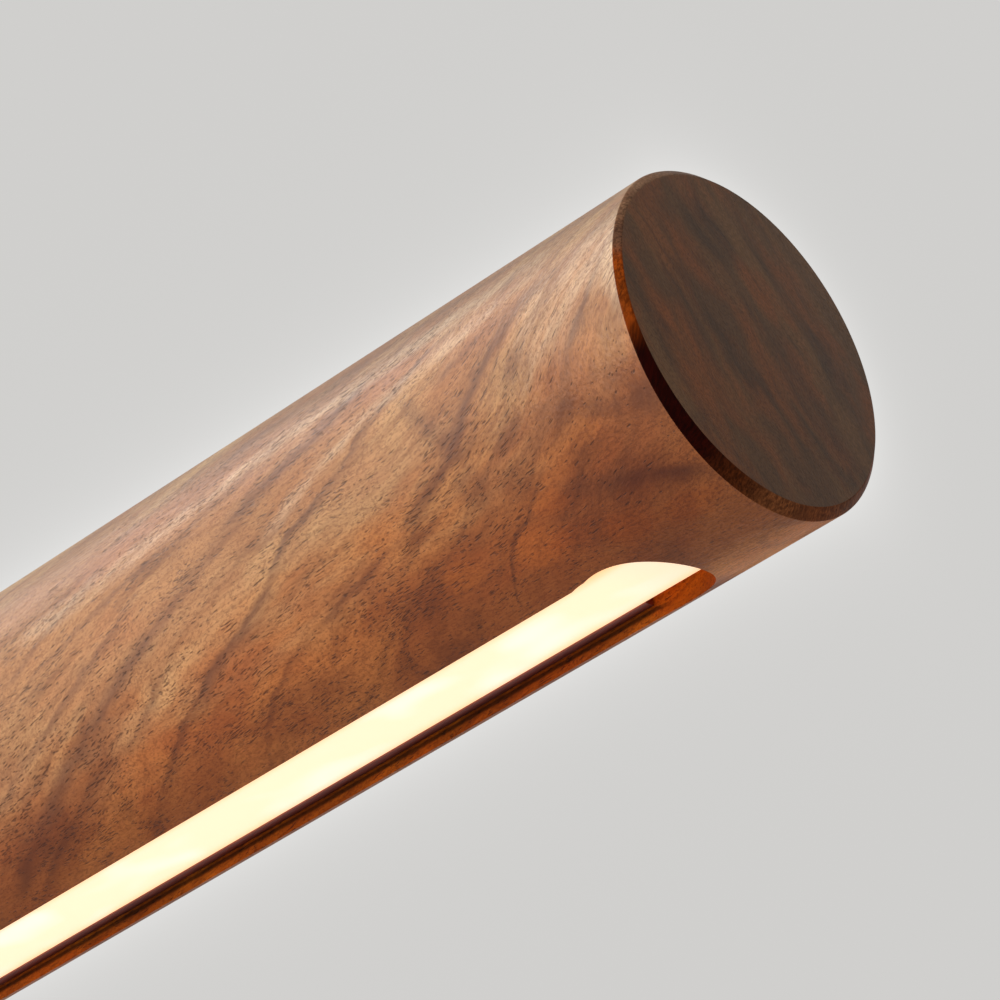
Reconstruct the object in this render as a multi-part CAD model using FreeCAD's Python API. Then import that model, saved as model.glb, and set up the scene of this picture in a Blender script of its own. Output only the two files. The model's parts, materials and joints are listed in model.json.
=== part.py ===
"""Magnetic balance lamp: a round walnut light bar, held by a magnet at its balance point on a brass stand.

Millimetres, +Z up. The origin is the centre of the base's underside. The stem stands on the base, and the bar
lies in front of it, along X, with its free end raised. The pieces of the bar and of the pivot are drawn in the
bar's own frame, and then tilted into place. Its origin is the pivot, on the bar's axis, with +X towards the
free end, +Y towards the stem and -Z towards the light slot.
"""

import FreeCAD
import Part

import math
import os

from FreeCAD import Vector

# Light bar. Places along it are distances from the pivot, which sits at the bar's centre of mass.
BAR_D = 35.0
BAR_LENGTH = 440.0
BAR_CHAMFER = 0.8
BAR_TILT = 15.7
FREE_END = 226.0
CAP_THICKNESS = 6.0
SEAM_CHAMFER = 0.3

# Slot in the bar's underside. Depths are distances below the bar's axis.
SLOT_WIDTH = 12.1
SLOT_BORE_D = 13.0
SLOT_FLOOR = 7.0
FREE_BORE_FROM_END = 18.0
CAP_BORE_FROM_END = 28.0

# Channel, light strip and diffuser
CHANNEL_WIDTH = 11.4
CHANNEL_MOUTH = 9.2
CHANNEL_INSIDE = 8.4
CHANNEL_FLOOR_THICKNESS = 1.2
CHANNEL_RIM = 15.2
CHANNEL_END_TO_BORE = 3.4
STRIP_WIDTH = 8.0
STRIP_THICKNESS = 0.8
STRIP_END_GAP = 1.0
CHIP_LENGTH = 3.0
CHIP_WIDTH = 1.6
CHIP_HEIGHT = 0.7
CHIP_COUNT = 31
DIFFUSER_WIDTH = 9.1
DIFFUSER_END_D = 12.8
DIFFUSER_FACE = 15.1
DIFFUSER_THICKNESS = 2.0
CHANNEL_SCREWS_AT = (16.0, 100.0, 188.0)
CHANNEL_SCREW_D = 1.8
CHANNEL_SCREW_HEAD_D = 3.4
CHANNEL_SCREW_LENGTH = 4.5

# Cell, in a bore that runs above the slot from the cap end to beside the pivot
CELL_BORE_D = 20.0
CELL_RISE = 4.6
CELL_BORE_END = -20.0
CELL_D = 18.4
CELL_LENGTH = 65.0
CONTACT_D = 12.0
CONTACT_THICKNESS = 1.2
TRAY_OUTER_D = 19.8
TRAY_INNER_D = 18.6
TRAY_RIB = 1.5
LEAD_D = 1.2
CELL_LEAD_SPREAD = 2.6
LAMP_LEAD_WIDTH = 2.6
LAMP_LEAD_THICKNESS = 1.2
LAMP_LEAD_BEND = 3.0
LAMP_LEAD_END_BEND = 1.5
LAMP_LEAD_TAIL = 3.0
LEAD_HOLE_D = 6.0
LEAD_HOLE_AT = -176.0

# Control board and inlet behind the end cap
CAP_BORE_D = 27.2
CAP_BORE_STEP_D = 24.0
RING_LENGTH = 5.0
RING_INNER_D = 24.0
BOARD_D = 26.8
BOARD_THICKNESS = 1.2
BOARD_SPACE = 3.8
# Each component on the board: Y from and to, Z from and to, and height
CHARGER_CHIP = (-6.5, -1.5, 5.0, 9.0, 1.2)
DRIVER_COIL = (1.5, 7.5, 3.0, 9.0, 2.6)
DIMMER_CHIP = (-7.0, -3.0, -3.0, 2.0, 1.0)
SPIGOT_D = 23.8
SPIGOT_INNER_D = 20.0
SPIGOT_LENGTH = 4.6
INLET_DROP = 7.2
INLET_WIDTH = 8.9
INLET_HEIGHT = 3.2
INLET_WALL = 0.3
INLET_DEPTH = 6.5
INLET_TONGUE_WIDTH = 6.7
INLET_TONGUE_HEIGHT = 0.7
INLET_TONGUE_BACK = 1.2
INLET_CLEARANCE = 0.15

# Button and switch
BUTTON_RISE = 3.0
BUTTON_D = 11.0
BUTTON_CLEARANCE = 0.1
BUTTON_PROUD = 1.4
BUTTON_EDGE = 0.5
BUTTON_DISH_D = 8.6
BUTTON_DISH_DEPTH = 0.35
BUTTON_FLANGE_D = 13.0
BUTTON_FLANGE = 1.0
SWITCH_SIDE = 6.0
SWITCH_HEIGHT = 2.5
SWITCH_HOLE_DEPTH = 2.2
PLUNGER_D = 3.4
PLUNGER_HOLE_D = 3.8
PLUNGER_LENGTH = 2.4

# Keeper plate in the bar's back, and the magnet cup that enters the bar behind it
KEEPER_D = 24.4
KEEPER_THICKNESS = 2.5
KEEPER_FACE = 11.0
KEEPER_SCREW_PCD = 15.0
KEEPER_SCREW_COUNT = 3
KEEPER_SCREW_D = 2.4
KEEPER_SCREW_HEAD_D = 4.6
KEEPER_SCREW_LENGTH = 9.0
CUP_D = 23.6
CUP_LENGTH = 10.0
CUP_EDGE = 0.6
CUP_NECK_D = 14.0
CUP_NECK = 1.0
MAGNET_D = 18.0
MAGNET_THICKNESS = 4.0
MAGNET_SUNK = 0.2
MAGNET_POCKET_D = 18.2

# Tilt spindle, its bushes in the head block, and the tension knob behind
PIVOT_HEIGHT = 330.0
HEAD_D = 26.0
HEAD_ABOVE_PIVOT = 13.0
HEAD_BELOW_PIVOT = 24.0
HEAD_FLAT = 11.0
HEAD_FLAT_BELOW_PIVOT = 12.0
HEAD_EDGE = 1.0
HEAD_SCREW_UP = 6.0
SPINDLE_D = 8.0
SPINDLE_THREAD_D = 6.0
SPINDLE_THREAD = 6.0
RUNNING_CLEARANCE = 0.05
END_PLAY = 0.2
BUSH_D = 11.0
BUSH_LENGTH = 7.0
BUSH_FLANGE_D = 14.0
BUSH_FLANGE = 0.8
SPRING_WASHER_D = 13.0
SPRING_WASHER_BORE_D = 8.4
SPRING_WASHER_THICKNESS = 0.5
SPRING_WASHER_DISH = 0.5
KNOB_D = 18.0
KNOB_LENGTH = 9.0
KNOB_EDGE = 0.8
KNOB_FLUTES = 12
KNOB_FLUTE_D = 2.2
SET_SCREW_D = 4.0
SET_SCREW_LENGTH = 6.0
SET_SCREW_KEY = 2.0

# Stem, and what holds it in the base
STEM_D = 12.0
STEM_WALL = 1.5
STEM_IN_HEAD = 13.0
COLLAR_D = 24.0
COLLAR_HEIGHT = 8.0
COLLAR_EDGE = 0.8
THRUST_WASHER_D = 22.0
THRUST_WASHER_BORE_D = 12.8
THRUST_WASHER = 0.8
SWIVEL_BUSH_D = 16.0
SWIVEL_BUSH_BOTTOM = 8.0
SWIVEL_FLANGE_D = 28.0
SWIVEL_FLANGE = 1.5
STEM_END_PLAY = 0.15
STEM_PLUG_LENGTH = 12.0
STEM_WASHER_D = 15.0
STEM_WASHER = 1.2
BOLT_D = 5.0
BOLT_LENGTH = 12.0
BOLT_HEAD_D = 8.5
BOLT_HEAD = 3.0
BOLT_KEY = 4.0

# Base
BASE_D = 140.0
BASE_TOP = 24.0
BASE_TOP_EDGE = 1.2
BASE_FOOT_EDGE = 4.0
PAD_D = 118.0
PAD_THICKNESS = 2.5
PAD_PROUD = 1.0
BALLAST_D = 114.0
BALLAST_THICKNESS = 11.0
BALLAST_CLEARANCE = 0.2
BALLAST_COUNTERBORE_D = 18.0
BALLAST_SCREW_PCD = 88.0
BALLAST_SCREW_COUNT = 4
BALLAST_SCREW_D = 4.0
BALLAST_SCREW_HEAD_D = 8.0
BALLAST_SCREW_LENGTH = 16.0

# Worked out from the sizes above
BAR_R = BAR_D / 2
CAP_FACE = FREE_END - BAR_LENGTH
CAP_SEAM = CAP_FACE + CAP_THICKNESS
FREE_BORE_AT = FREE_END - FREE_BORE_FROM_END
CAP_BORE_AT = CAP_FACE + CAP_BORE_FROM_END
CHANNEL_FROM = CAP_BORE_AT + CHANNEL_END_TO_BORE
CHANNEL_TO = FREE_BORE_AT - CHANNEL_END_TO_BORE
CHANNEL_BED = SLOT_FLOOR + CHANNEL_FLOOR_THICKNESS
STRIP_FROM = LEAD_HOLE_AT + LAMP_LEAD_END_BEND
STRIP_TO = CHANNEL_TO - STRIP_END_GAP
STRIP_FACE = CHANNEL_BED + STRIP_THICKNESS
DIFFUSER_BACK = DIFFUSER_FACE - DIFFUSER_THICKNESS
BOARD_FRONT = CAP_SEAM + RING_LENGTH
BOARD_BACK = BOARD_FRONT + BOARD_THICKNESS
CELL_BORE_START = BOARD_BACK + BOARD_SPACE
CELL_TO = CELL_BORE_END - CONTACT_THICKNESS
CELL_FROM = CELL_TO - CELL_LENGTH
BUTTON_BACK = CAP_SEAM + BUTTON_FLANGE
SWITCH_FACE = BOARD_FRONT - SWITCH_HEIGHT
CUP_BACK = KEEPER_FACE + CUP_LENGTH
NECK_BACK = CUP_BACK + CUP_NECK
HEAD_FRONT = NECK_BACK + END_PLAY + BUSH_FLANGE
HEAD_BACK = HEAD_FRONT + 2 * HEAD_FLAT
REAR_FLANGE = HEAD_BACK + BUSH_FLANGE
SPRING_WASHER_BACK = REAR_FLANGE + END_PLAY + SPRING_WASHER_THICKNESS + SPRING_WASHER_DISH
BAR_AXIS_Y = -(HEAD_FRONT + HEAD_FLAT)
HEAD_BOTTOM = PIVOT_HEIGHT - HEAD_BELOW_PIVOT
STEM_TOP = HEAD_BOTTOM + STEM_IN_HEAD
STEM_BOTTOM = SWIVEL_BUSH_BOTTOM - STEM_END_PLAY
SWIVEL_TOP = BASE_TOP + SWIVEL_FLANGE
COLLAR_BOTTOM = SWIVEL_TOP + THRUST_WASHER
BASE_BOTTOM = PAD_PROUD
BALLAST_TOP = PAD_THICKNESS + BALLAST_THICKNESS


# ---- Shapes that several pieces are made from -----------------------------------------------------------------

AXES = {"x": Vector(1, 0, 0), "y": Vector(0, 1, 0), "z": Vector(0, 0, 1)}


def along(axis, place, across=(0.0, 0.0)):
    """The point at a place on an axis, with the other two coordinates given in X, Y, Z order."""
    rest = list(across)
    return Vector(*[place if name == axis else rest.pop(0) for name in "xyz"])


def rod(diameter, start, end, axis="z", across=(0.0, 0.0)):
    """A round bar from start to end along an axis."""
    return Part.makeCylinder(diameter / 2, end - start, along(axis, start, across), AXES[axis])


def tube(outer_d, inner_d, start, end, axis="z", across=(0.0, 0.0)):
    """A round bar with a hole through it."""
    return rod(outer_d, start, end, axis, across).cut(rod(inner_d, start - 1, end + 1, axis, across))


def block(x_from, x_to, y_from, y_to, z_from, z_to):
    """A rectangular block between two corners."""
    return Part.makeBox(x_to - x_from, y_to - y_from, z_to - z_from, Vector(x_from, y_from, z_from))


def turned(outline, axis="z", across=(0.0, 0.0)):
    """A lathe-turned solid from its half outline: (radius, place along the axis) points."""
    points = [Vector(radius, 0, place) for radius, place in outline]
    section = Part.Face(Part.makePolygon(points + points[:1]))
    solid = Part.makeSolid(section.revolve(Vector(), AXES["z"], 360).Shells[0])
    if solid.Volume < 0:
        solid.reverse()
    if axis == "x":
        solid.rotate(Vector(), AXES["y"], 90)
    if axis == "y":
        solid.rotate(Vector(), AXES["x"], -90)
    solid.translate(along(axis, 0, across))
    return solid


def hexagon(across_flats, start, end):
    """A hexagonal prism on the Z axis."""
    corner = across_flats / math.sqrt(3)
    angles = [math.radians(60 * i) for i in range(7)]
    outline = Part.makePolygon([Vector(corner * math.cos(a), corner * math.sin(a), start) for a in angles])
    return Part.Face(outline).extrude(Vector(0, 0, end - start))


def ring_of(count, pitch_circle, start=90.0):
    """Centres spaced evenly round a circle."""
    angles = [math.radians(start + 360 * i / count) for i in range(count)]
    return [(pitch_circle / 2 * math.cos(a), pitch_circle / 2 * math.sin(a)) for a in angles]


def countersunk(diameter, head_d, length):
    """A countersunk screw's outer form: flat head at z = 0, shank along -Z. It also cuts the screw's hole."""
    cone = (head_d - diameter) / 2
    return turned([(0, -length), (diameter / 2, -length), (diameter / 2, -cone), (head_d / 2, 0), (0, 0)])


def key_socket(diameter, head_d):
    """The hexagonal socket in a countersunk screw's head."""
    return hexagon(diameter * 0.6, -(head_d - diameter) / 2, 1.0)


def slab_with_round_ends(width, height, start, end):
    """A bar along X with a stadium section, centred on Y and Z."""
    straight = (width - height) / 2
    middle = block(start, end, -straight, straight, -height / 2, height / 2)
    return middle.fuse([rod(height, start, end, "x", (side * straight, 0)) for side in (-1, 1)]).removeSplitter()


def on_bar(shape):
    """Tilts a piece of the bar or pivot into its place in front of the stem."""
    placed = shape.copy()
    placed.rotate(Vector(), AXES["y"], -BAR_TILT)
    placed.translate(Vector(0, BAR_AXIS_Y, PIVOT_HEIGHT))
    return placed


# ---- The wooden bar -------------------------------------------------------------------------------------------

def slot_cutter():
    """What the slot removes: a straight slot in the underside that ends in a wider round bore at each end."""
    straight = block(CAP_BORE_AT, FREE_BORE_AT, -SLOT_WIDTH / 2, SLOT_WIDTH / 2, -BAR_D, -SLOT_FLOOR)
    bores = [rod(SLOT_BORE_D, -BAR_D, -SLOT_FLOOR, "z", (centre, 0)) for centre in (CAP_BORE_AT, FREE_BORE_AT)]
    return straight.fuse(bores).removeSplitter()


def channel_screw_forms():
    """The channel's countersunk screws, driven upwards from the channel's floor."""
    forms = []
    for place in CHANNEL_SCREWS_AT:
        form = countersunk(CHANNEL_SCREW_D, CHANNEL_SCREW_HEAD_D, CHANNEL_SCREW_LENGTH)
        forms.append(seat_channel_screw(form, place))
    return forms


def seat_channel_screw(shape, place):
    """Turns a screw upright, head down, and puts it in the channel's floor."""
    shape.rotate(Vector(), AXES["x"], 180)
    shape.translate(Vector(place, 0, -CHANNEL_BED))
    return shape


def keeper_screw_forms():
    """The keeper plate's countersunk screws, driven into the bar from the back."""
    forms = []
    for x, z in ring_of(KEEPER_SCREW_COUNT, KEEPER_SCREW_PCD):
        form = countersunk(KEEPER_SCREW_D, KEEPER_SCREW_HEAD_D, KEEPER_SCREW_LENGTH)
        forms.append(seat_keeper_screw(form, x, z))
    return forms


def seat_keeper_screw(shape, x, z):
    """Lays a screw along the bar's -Y, head in the keeper plate's face."""
    shape.rotate(Vector(), AXES["x"], -90)
    shape.translate(Vector(x, KEEPER_FACE, z))
    return shape


def bar_body():
    """The turned bar, chamfered at its free end, with the slot, the cell's bore and the keeper's pocket."""
    bar = turned([
        (0, CAP_SEAM), (BAR_R - SEAM_CHAMFER, CAP_SEAM), (BAR_R, CAP_SEAM + SEAM_CHAMFER),
        (BAR_R, FREE_END - BAR_CHAMFER), (BAR_R - BAR_CHAMFER, FREE_END), (0, FREE_END),
    ], "x")
    spaces = [
        slot_cutter(),
        rod(CAP_BORE_D, CAP_SEAM - 1, BOARD_BACK, "x"),
        rod(CAP_BORE_STEP_D, CAP_SEAM - 1, CELL_BORE_START, "x"),
        rod(CELL_BORE_D, CELL_BORE_START - 1, CELL_BORE_END, "x", (0, CELL_RISE)),
        rod(LEAD_HOLE_D, -CHANNEL_BED, 0, "z", (LEAD_HOLE_AT, 0)),
        rod(KEEPER_D, KEEPER_FACE - KEEPER_THICKNESS, BAR_D, "y"),
    ]
    return bar.cut(spaces + channel_screw_forms() + keeper_screw_forms())


# ---- The light in the slot ------------------------------------------------------------------------------------

def light_channel():
    """The channel's section: thick floor, walls that step wider where the diffuser sits, square-cut ends."""
    half, inside, mouth = CHANNEL_WIDTH / 2, CHANNEL_INSIDE / 2, CHANNEL_MOUTH / 2
    outer = block(CHANNEL_FROM, CHANNEL_TO, -half, half, -CHANNEL_RIM, -SLOT_FLOOR)
    spaces = [
        block(CHANNEL_FROM - 1, CHANNEL_TO + 1, -inside, inside, -BAR_D, -CHANNEL_BED),
        block(CHANNEL_FROM - 1, CHANNEL_TO + 1, -mouth, mouth, -BAR_D, -DIFFUSER_BACK),
        rod(LEAD_HOLE_D, -BAR_D, 0, "z", (LEAD_HOLE_AT, 0)),
    ]
    return outer.cut(spaces + channel_screw_forms())


def channel_screws():
    screws = []
    for place, form in zip(CHANNEL_SCREWS_AT, channel_screw_forms()):
        socket = key_socket(CHANNEL_SCREW_D, CHANNEL_SCREW_HEAD_D)
        screws.append(form.cut(seat_channel_screw(socket, place)))
    return Part.makeCompound(screws)


def led_board():
    """The long narrow board on the channel's floor."""
    half = STRIP_WIDTH / 2
    return block(STRIP_FROM, STRIP_TO, -half, half, -STRIP_FACE, -CHANNEL_BED)


def led_chips():
    """The light chips, evenly spaced along the board."""
    pitch = (STRIP_TO - STRIP_FROM) / (CHIP_COUNT + 1)
    chips = []
    for i in range(CHIP_COUNT):
        centre = STRIP_FROM + pitch * (i + 1)
        chips.append(block(centre - CHIP_LENGTH / 2, centre + CHIP_LENGTH / 2, -CHIP_WIDTH / 2, CHIP_WIDTH / 2,
                           -STRIP_FACE - CHIP_HEIGHT, -STRIP_FACE))
    return Part.makeCompound(chips)


def diffuser():
    """The milky strip in the channel's mouth. It runs on past the channel, and its ends follow the bores."""
    half = DIFFUSER_WIDTH / 2
    bores = (CAP_BORE_AT, FREE_BORE_AT)
    strip = block(*bores, -half, half, -DIFFUSER_FACE, -DIFFUSER_BACK)
    over_bores = block(CAP_FACE, FREE_END, -half, half, -DIFFUSER_FACE, -DIFFUSER_BACK)
    ends = []
    for centre in bores:
        end = rod(DIFFUSER_END_D, -DIFFUSER_FACE, -DIFFUSER_BACK, "z", (centre, 0))
        ends.append(end.common(over_bores))
    return strip.fuse(ends).removeSplitter()


# ---- The cell and its leads -----------------------------------------------------------------------------------

def cell():
    """A round rechargeable cell."""
    return rod(CELL_D, CELL_FROM, CELL_TO, "x", (0, CELL_RISE))


def cell_contacts():
    """A sprung contact disc at each end of the cell."""
    ends = ((CELL_FROM - CONTACT_THICKNESS, CELL_FROM), (CELL_TO, CELL_TO + CONTACT_THICKNESS))
    return Part.makeCompound([rod(CONTACT_D, start, end, "x", (0, CELL_RISE)) for start, end in ends])


def cell_tray():
    """A half-round tray that fills the bore's lower half, with a rib that keeps the cell at its inner end."""
    tray = tube(TRAY_OUTER_D, TRAY_INNER_D, CELL_BORE_START, CELL_BORE_END, "x", (0, CELL_RISE))
    rib_end = CELL_FROM - CONTACT_THICKNESS
    rib = tube(TRAY_OUTER_D, CONTACT_D, rib_end - TRAY_RIB, rib_end, "x", (0, CELL_RISE))
    upper_half = block(CAP_FACE, FREE_END, -BAR_R, BAR_R, CELL_RISE, BAR_D)
    lead_hole = rod(LEAD_HOLE_D, -BAR_D, 0, "z", (LEAD_HOLE_AT, 0))
    return tray.fuse(rib).cut([upper_half, lead_hole]).removeSplitter()


def height_in_tray(inside_d, spread):
    """Height at this distance from the middle of a round surface that runs along the tray's inside."""
    return CELL_RISE - math.sqrt((inside_d / 2) ** 2 - spread ** 2)


def cell_leads():
    """Two leads that lie in the tray between the control board and the cell's rib."""
    end = CELL_FROM - CONTACT_THICKNESS - TRAY_RIB
    height = height_in_tray(TRAY_INNER_D - LEAD_D, CELL_LEAD_SPREAD)
    sides = (-CELL_LEAD_SPREAD, CELL_LEAD_SPREAD)
    return Part.makeCompound([rod(LEAD_D, BOARD_BACK, end, "x", (y, height)) for y in sides])


def lamp_leads():
    """A flat twin lead from the control board along the tray, down the lead hole and onto the light strip."""
    half_width, half_thickness = LAMP_LEAD_WIDTH / 2, LAMP_LEAD_THICKNESS / 2
    bend, end_bend, slant = LAMP_LEAD_BEND, LAMP_LEAD_END_BEND, math.sqrt(0.5)
    height = height_in_tray(TRAY_INNER_D, half_width) + half_thickness
    landing = -STRIP_FACE - half_thickness
    start = Vector(BOARD_BACK, 0, height)
    bend_in = Vector(LEAD_HOLE_AT - bend, 0, height)
    bend_middle = Vector(bend_in.x + bend * slant, 0, height - bend * (1 - slant))
    bend_out = Vector(LEAD_HOLE_AT, 0, height - bend)
    turn_in = Vector(LEAD_HOLE_AT, 0, landing + end_bend)
    turn_middle = Vector(LEAD_HOLE_AT + end_bend * (1 - slant), 0, turn_in.z - end_bend * slant)
    turn_out = Vector(LEAD_HOLE_AT + end_bend, 0, landing)
    tail = Vector(turn_out.x + LAMP_LEAD_TAIL, 0, landing)
    path = Part.Wire([
        Part.LineSegment(start, bend_in).toShape(),
        Part.Arc(bend_in, bend_middle, bend_out).toShape(),
        Part.LineSegment(bend_out, turn_in).toShape(),
        Part.Arc(turn_in, turn_middle, turn_out).toShape(),
        Part.LineSegment(turn_out, tail).toShape(),
    ])
    corners = [(-1, -1), (1, -1), (1, 1), (-1, 1), (-1, -1)]
    section = Part.makePolygon([start + Vector(0, y * half_width, z * half_thickness) for y, z in corners])
    return path.makePipeShell([section], True, False)


# ---- The switch end -------------------------------------------------------------------------------------------

def control_board():
    """The round charging and dimming board that stands across the bar's bore."""
    return rod(BOARD_D, BOARD_FRONT, BOARD_BACK, "x")


def board_components():
    """The chips and the coil on the board's inner side."""
    components = []
    for y_from, y_to, z_from, z_to, height in (CHARGER_CHIP, DRIVER_COIL, DIMMER_CHIP):
        components.append(block(BOARD_BACK, BOARD_BACK + height, y_from, y_to, z_from, z_to))
    return Part.makeCompound(components)


def inlet_form(clearance=0.0, start=CAP_FACE, end=BOARD_FRONT):
    """The inlet's outer form, or the slot for it where a clearance is given."""
    form = slab_with_round_ends(INLET_WIDTH + 2 * clearance, INLET_HEIGHT + 2 * clearance, start, end)
    form.translate(Vector(0, 0, -INLET_DROP))
    return form


def inlet():
    """The charging receptacle: a drawn shell with an oval mouth, flush with the cap, and a tongue inside."""
    mouth = inlet_form(-INLET_WALL, CAP_FACE - 1, CAP_FACE + INLET_DEPTH)
    tongue_half = INLET_TONGUE_WIDTH / 2
    tongue = block(CAP_FACE + INLET_TONGUE_BACK, CAP_FACE + INLET_DEPTH, -tongue_half, tongue_half,
                   -INLET_DROP - INLET_TONGUE_HEIGHT / 2, -INLET_DROP + INLET_TONGUE_HEIGHT / 2)
    return inlet_form().cut(mouth).fuse(tongue).removeSplitter()


def cap_ring():
    """The brass ring set in the bar's end, which clamps the board and holds the cap."""
    return tube(CAP_BORE_D, RING_INNER_D, CAP_SEAM, BOARD_FRONT, "x")


def end_cap():
    """The walnut cap of the switch end, with a spigot, the button's hole and the inlet's slot."""
    cap = turned([
        (0, CAP_FACE), (BAR_R - BAR_CHAMFER, CAP_FACE), (BAR_R, CAP_FACE + BAR_CHAMFER),
        (BAR_R, CAP_SEAM - SEAM_CHAMFER), (BAR_R - SEAM_CHAMFER, CAP_SEAM), (SPIGOT_D / 2, CAP_SEAM),
        (SPIGOT_D / 2, CAP_SEAM + SPIGOT_LENGTH), (SPIGOT_INNER_D / 2, CAP_SEAM + SPIGOT_LENGTH),
        (SPIGOT_INNER_D / 2, CAP_SEAM), (0, CAP_SEAM),
    ], "x")
    button_hole = rod(BUTTON_D + 2 * BUTTON_CLEARANCE, CAP_FACE - 1, CAP_SEAM + 1, "x", (0, BUTTON_RISE))
    return cap.cut([button_hole, inlet_form(INLET_CLEARANCE, CAP_FACE - 1, CAP_SEAM + 1)])


def button():
    """The brass push button: dished face, broken edge, and a flange that keeps it behind the cap."""
    face, shank, flange = CAP_FACE - BUTTON_PROUD, BUTTON_D / 2, BUTTON_FLANGE_D / 2
    body = turned([
        (0, face), (shank - BUTTON_EDGE, face), (shank, face + BUTTON_EDGE), (shank, CAP_SEAM),
        (flange, CAP_SEAM), (flange, BUTTON_BACK), (0, BUTTON_BACK),
    ], "x", (0, BUTTON_RISE))
    ball_r = ((BUTTON_DISH_D / 2) ** 2 + BUTTON_DISH_DEPTH ** 2) / (2 * BUTTON_DISH_DEPTH)
    ball = Part.makeSphere(ball_r, Vector(face + BUTTON_DISH_DEPTH - ball_r, 0, BUTTON_RISE))
    return body.cut(ball)


def switch_body():
    """The push switch on the board, with the hole that its plunger moves in."""
    half = SWITCH_SIDE / 2
    body = block(SWITCH_FACE, BOARD_FRONT, -half, half, BUTTON_RISE - half, BUTTON_RISE + half)
    hole_end = SWITCH_FACE + SWITCH_HOLE_DEPTH
    return body.cut(rod(PLUNGER_HOLE_D, SWITCH_FACE - 1, hole_end, "x", (0, BUTTON_RISE)))


def switch_plunger():
    """The switch's plunger, which the button's back rests on."""
    return rod(PLUNGER_D, BUTTON_BACK, BUTTON_BACK + PLUNGER_LENGTH, "x", (0, BUTTON_RISE))


# ---- The magnet pivot -----------------------------------------------------------------------------------------

def keeper_plate():
    """The steel disc in the bar's back, countersunk for its screws."""
    return rod(KEEPER_D, KEEPER_FACE - KEEPER_THICKNESS, KEEPER_FACE, "y").cut(keeper_screw_forms())


def keeper_screws():
    screws = []
    for (x, z), form in zip(ring_of(KEEPER_SCREW_COUNT, KEEPER_SCREW_PCD), keeper_screw_forms()):
        socket = key_socket(KEEPER_SCREW_D, KEEPER_SCREW_HEAD_D)
        screws.append(form.cut(seat_keeper_screw(socket, x, z)))
    return Part.makeCompound(screws)


def magnet_cup():
    """The turned brass cup that carries the magnet and enters the bar's back, with a short neck behind."""
    outer, pocket, bore, neck = CUP_D / 2, MAGNET_POCKET_D / 2, SPINDLE_THREAD_D / 2, CUP_NECK_D / 2
    pocket_floor = KEEPER_FACE + MAGNET_SUNK + MAGNET_THICKNESS
    return turned([
        (bore, pocket_floor), (pocket, pocket_floor), (pocket, KEEPER_FACE), (outer - CUP_EDGE, KEEPER_FACE),
        (outer, KEEPER_FACE + CUP_EDGE), (outer, CUP_BACK - CUP_EDGE), (outer - CUP_EDGE, CUP_BACK),
        (neck, CUP_BACK), (neck, NECK_BACK), (bore, NECK_BACK),
    ], "y")


def magnet():
    """The plated magnet disc, a little below the cup's rim."""
    face = KEEPER_FACE + MAGNET_SUNK
    return rod(MAGNET_D, face, face + MAGNET_THICKNESS, "y")


def tilt_spindle():
    """The steel spindle: thinner threaded ends for the cup and the knob, and a running length between them."""
    thread, run = SPINDLE_THREAD_D / 2, SPINDLE_D / 2
    front = KEEPER_FACE + MAGNET_SUNK + MAGNET_THICKNESS
    return turned([
        (0, front), (thread, front), (thread, NECK_BACK), (run, NECK_BACK), (run, SPRING_WASHER_BACK),
        (thread, SPRING_WASHER_BACK), (thread, SPRING_WASHER_BACK + SPINDLE_THREAD),
        (0, SPRING_WASHER_BACK + SPINDLE_THREAD),
    ], "y")


def spring_washer():
    """The dished washer between the rear bush and the knob, which sets the tilt's friction."""
    bore, rim = SPRING_WASHER_BORE_D / 2, SPRING_WASHER_D / 2
    front = REAR_FLANGE + END_PLAY
    back = SPRING_WASHER_BACK
    return turned([
        (rim, front), (rim, front + SPRING_WASHER_THICKNESS),
        (bore, back), (bore, back - SPRING_WASHER_THICKNESS),
    ], "y")


def tension_knob():
    """The fluted brass knob on the spindle's back end."""
    rim, bore = KNOB_D / 2, SPINDLE_THREAD_D / 2
    front, back = SPRING_WASHER_BACK, SPRING_WASHER_BACK + KNOB_LENGTH
    knob = turned([
        (bore, front), (rim - KNOB_EDGE, front), (rim, front + KNOB_EDGE), (rim, back - KNOB_EDGE),
        (rim - KNOB_EDGE, back), (0, back), (0, front + SPINDLE_THREAD), (bore, front + SPINDLE_THREAD),
    ], "y")
    flutes = [rod(KNOB_FLUTE_D, front - 1, back + 1, "y", centre) for centre in ring_of(KNOB_FLUTES, KNOB_D)]
    return knob.cut(flutes)


def flanged_bush(flange_face, outward):
    """A flanged plastic bush in the head's cross bore. outward is the side that its flange faces, -1 or 1."""
    bore, barrel, flange = SPINDLE_D / 2 + RUNNING_CLEARANCE, BUSH_D / 2, BUSH_FLANGE_D / 2
    flange_back = flange_face - outward * BUSH_FLANGE
    barrel_end = flange_back - outward * BUSH_LENGTH
    return turned([
        (bore, flange_face), (flange, flange_face), (flange, flange_back), (barrel, flange_back),
        (barrel, barrel_end), (bore, barrel_end),
    ], "y")


# ---- The stand ------------------------------------------------------------------------------------------------

def set_screw(height):
    """A socket set screw driven from behind against the stem."""
    screw = rod(SET_SCREW_D, 0, SET_SCREW_LENGTH)
    screw = screw.cut(hexagon(SET_SCREW_KEY, SET_SCREW_LENGTH / 2, SET_SCREW_LENGTH + 1))
    screw.rotate(Vector(), AXES["x"], -90)
    screw.translate(Vector(0, STEM_D / 2, height))
    return screw


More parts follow.
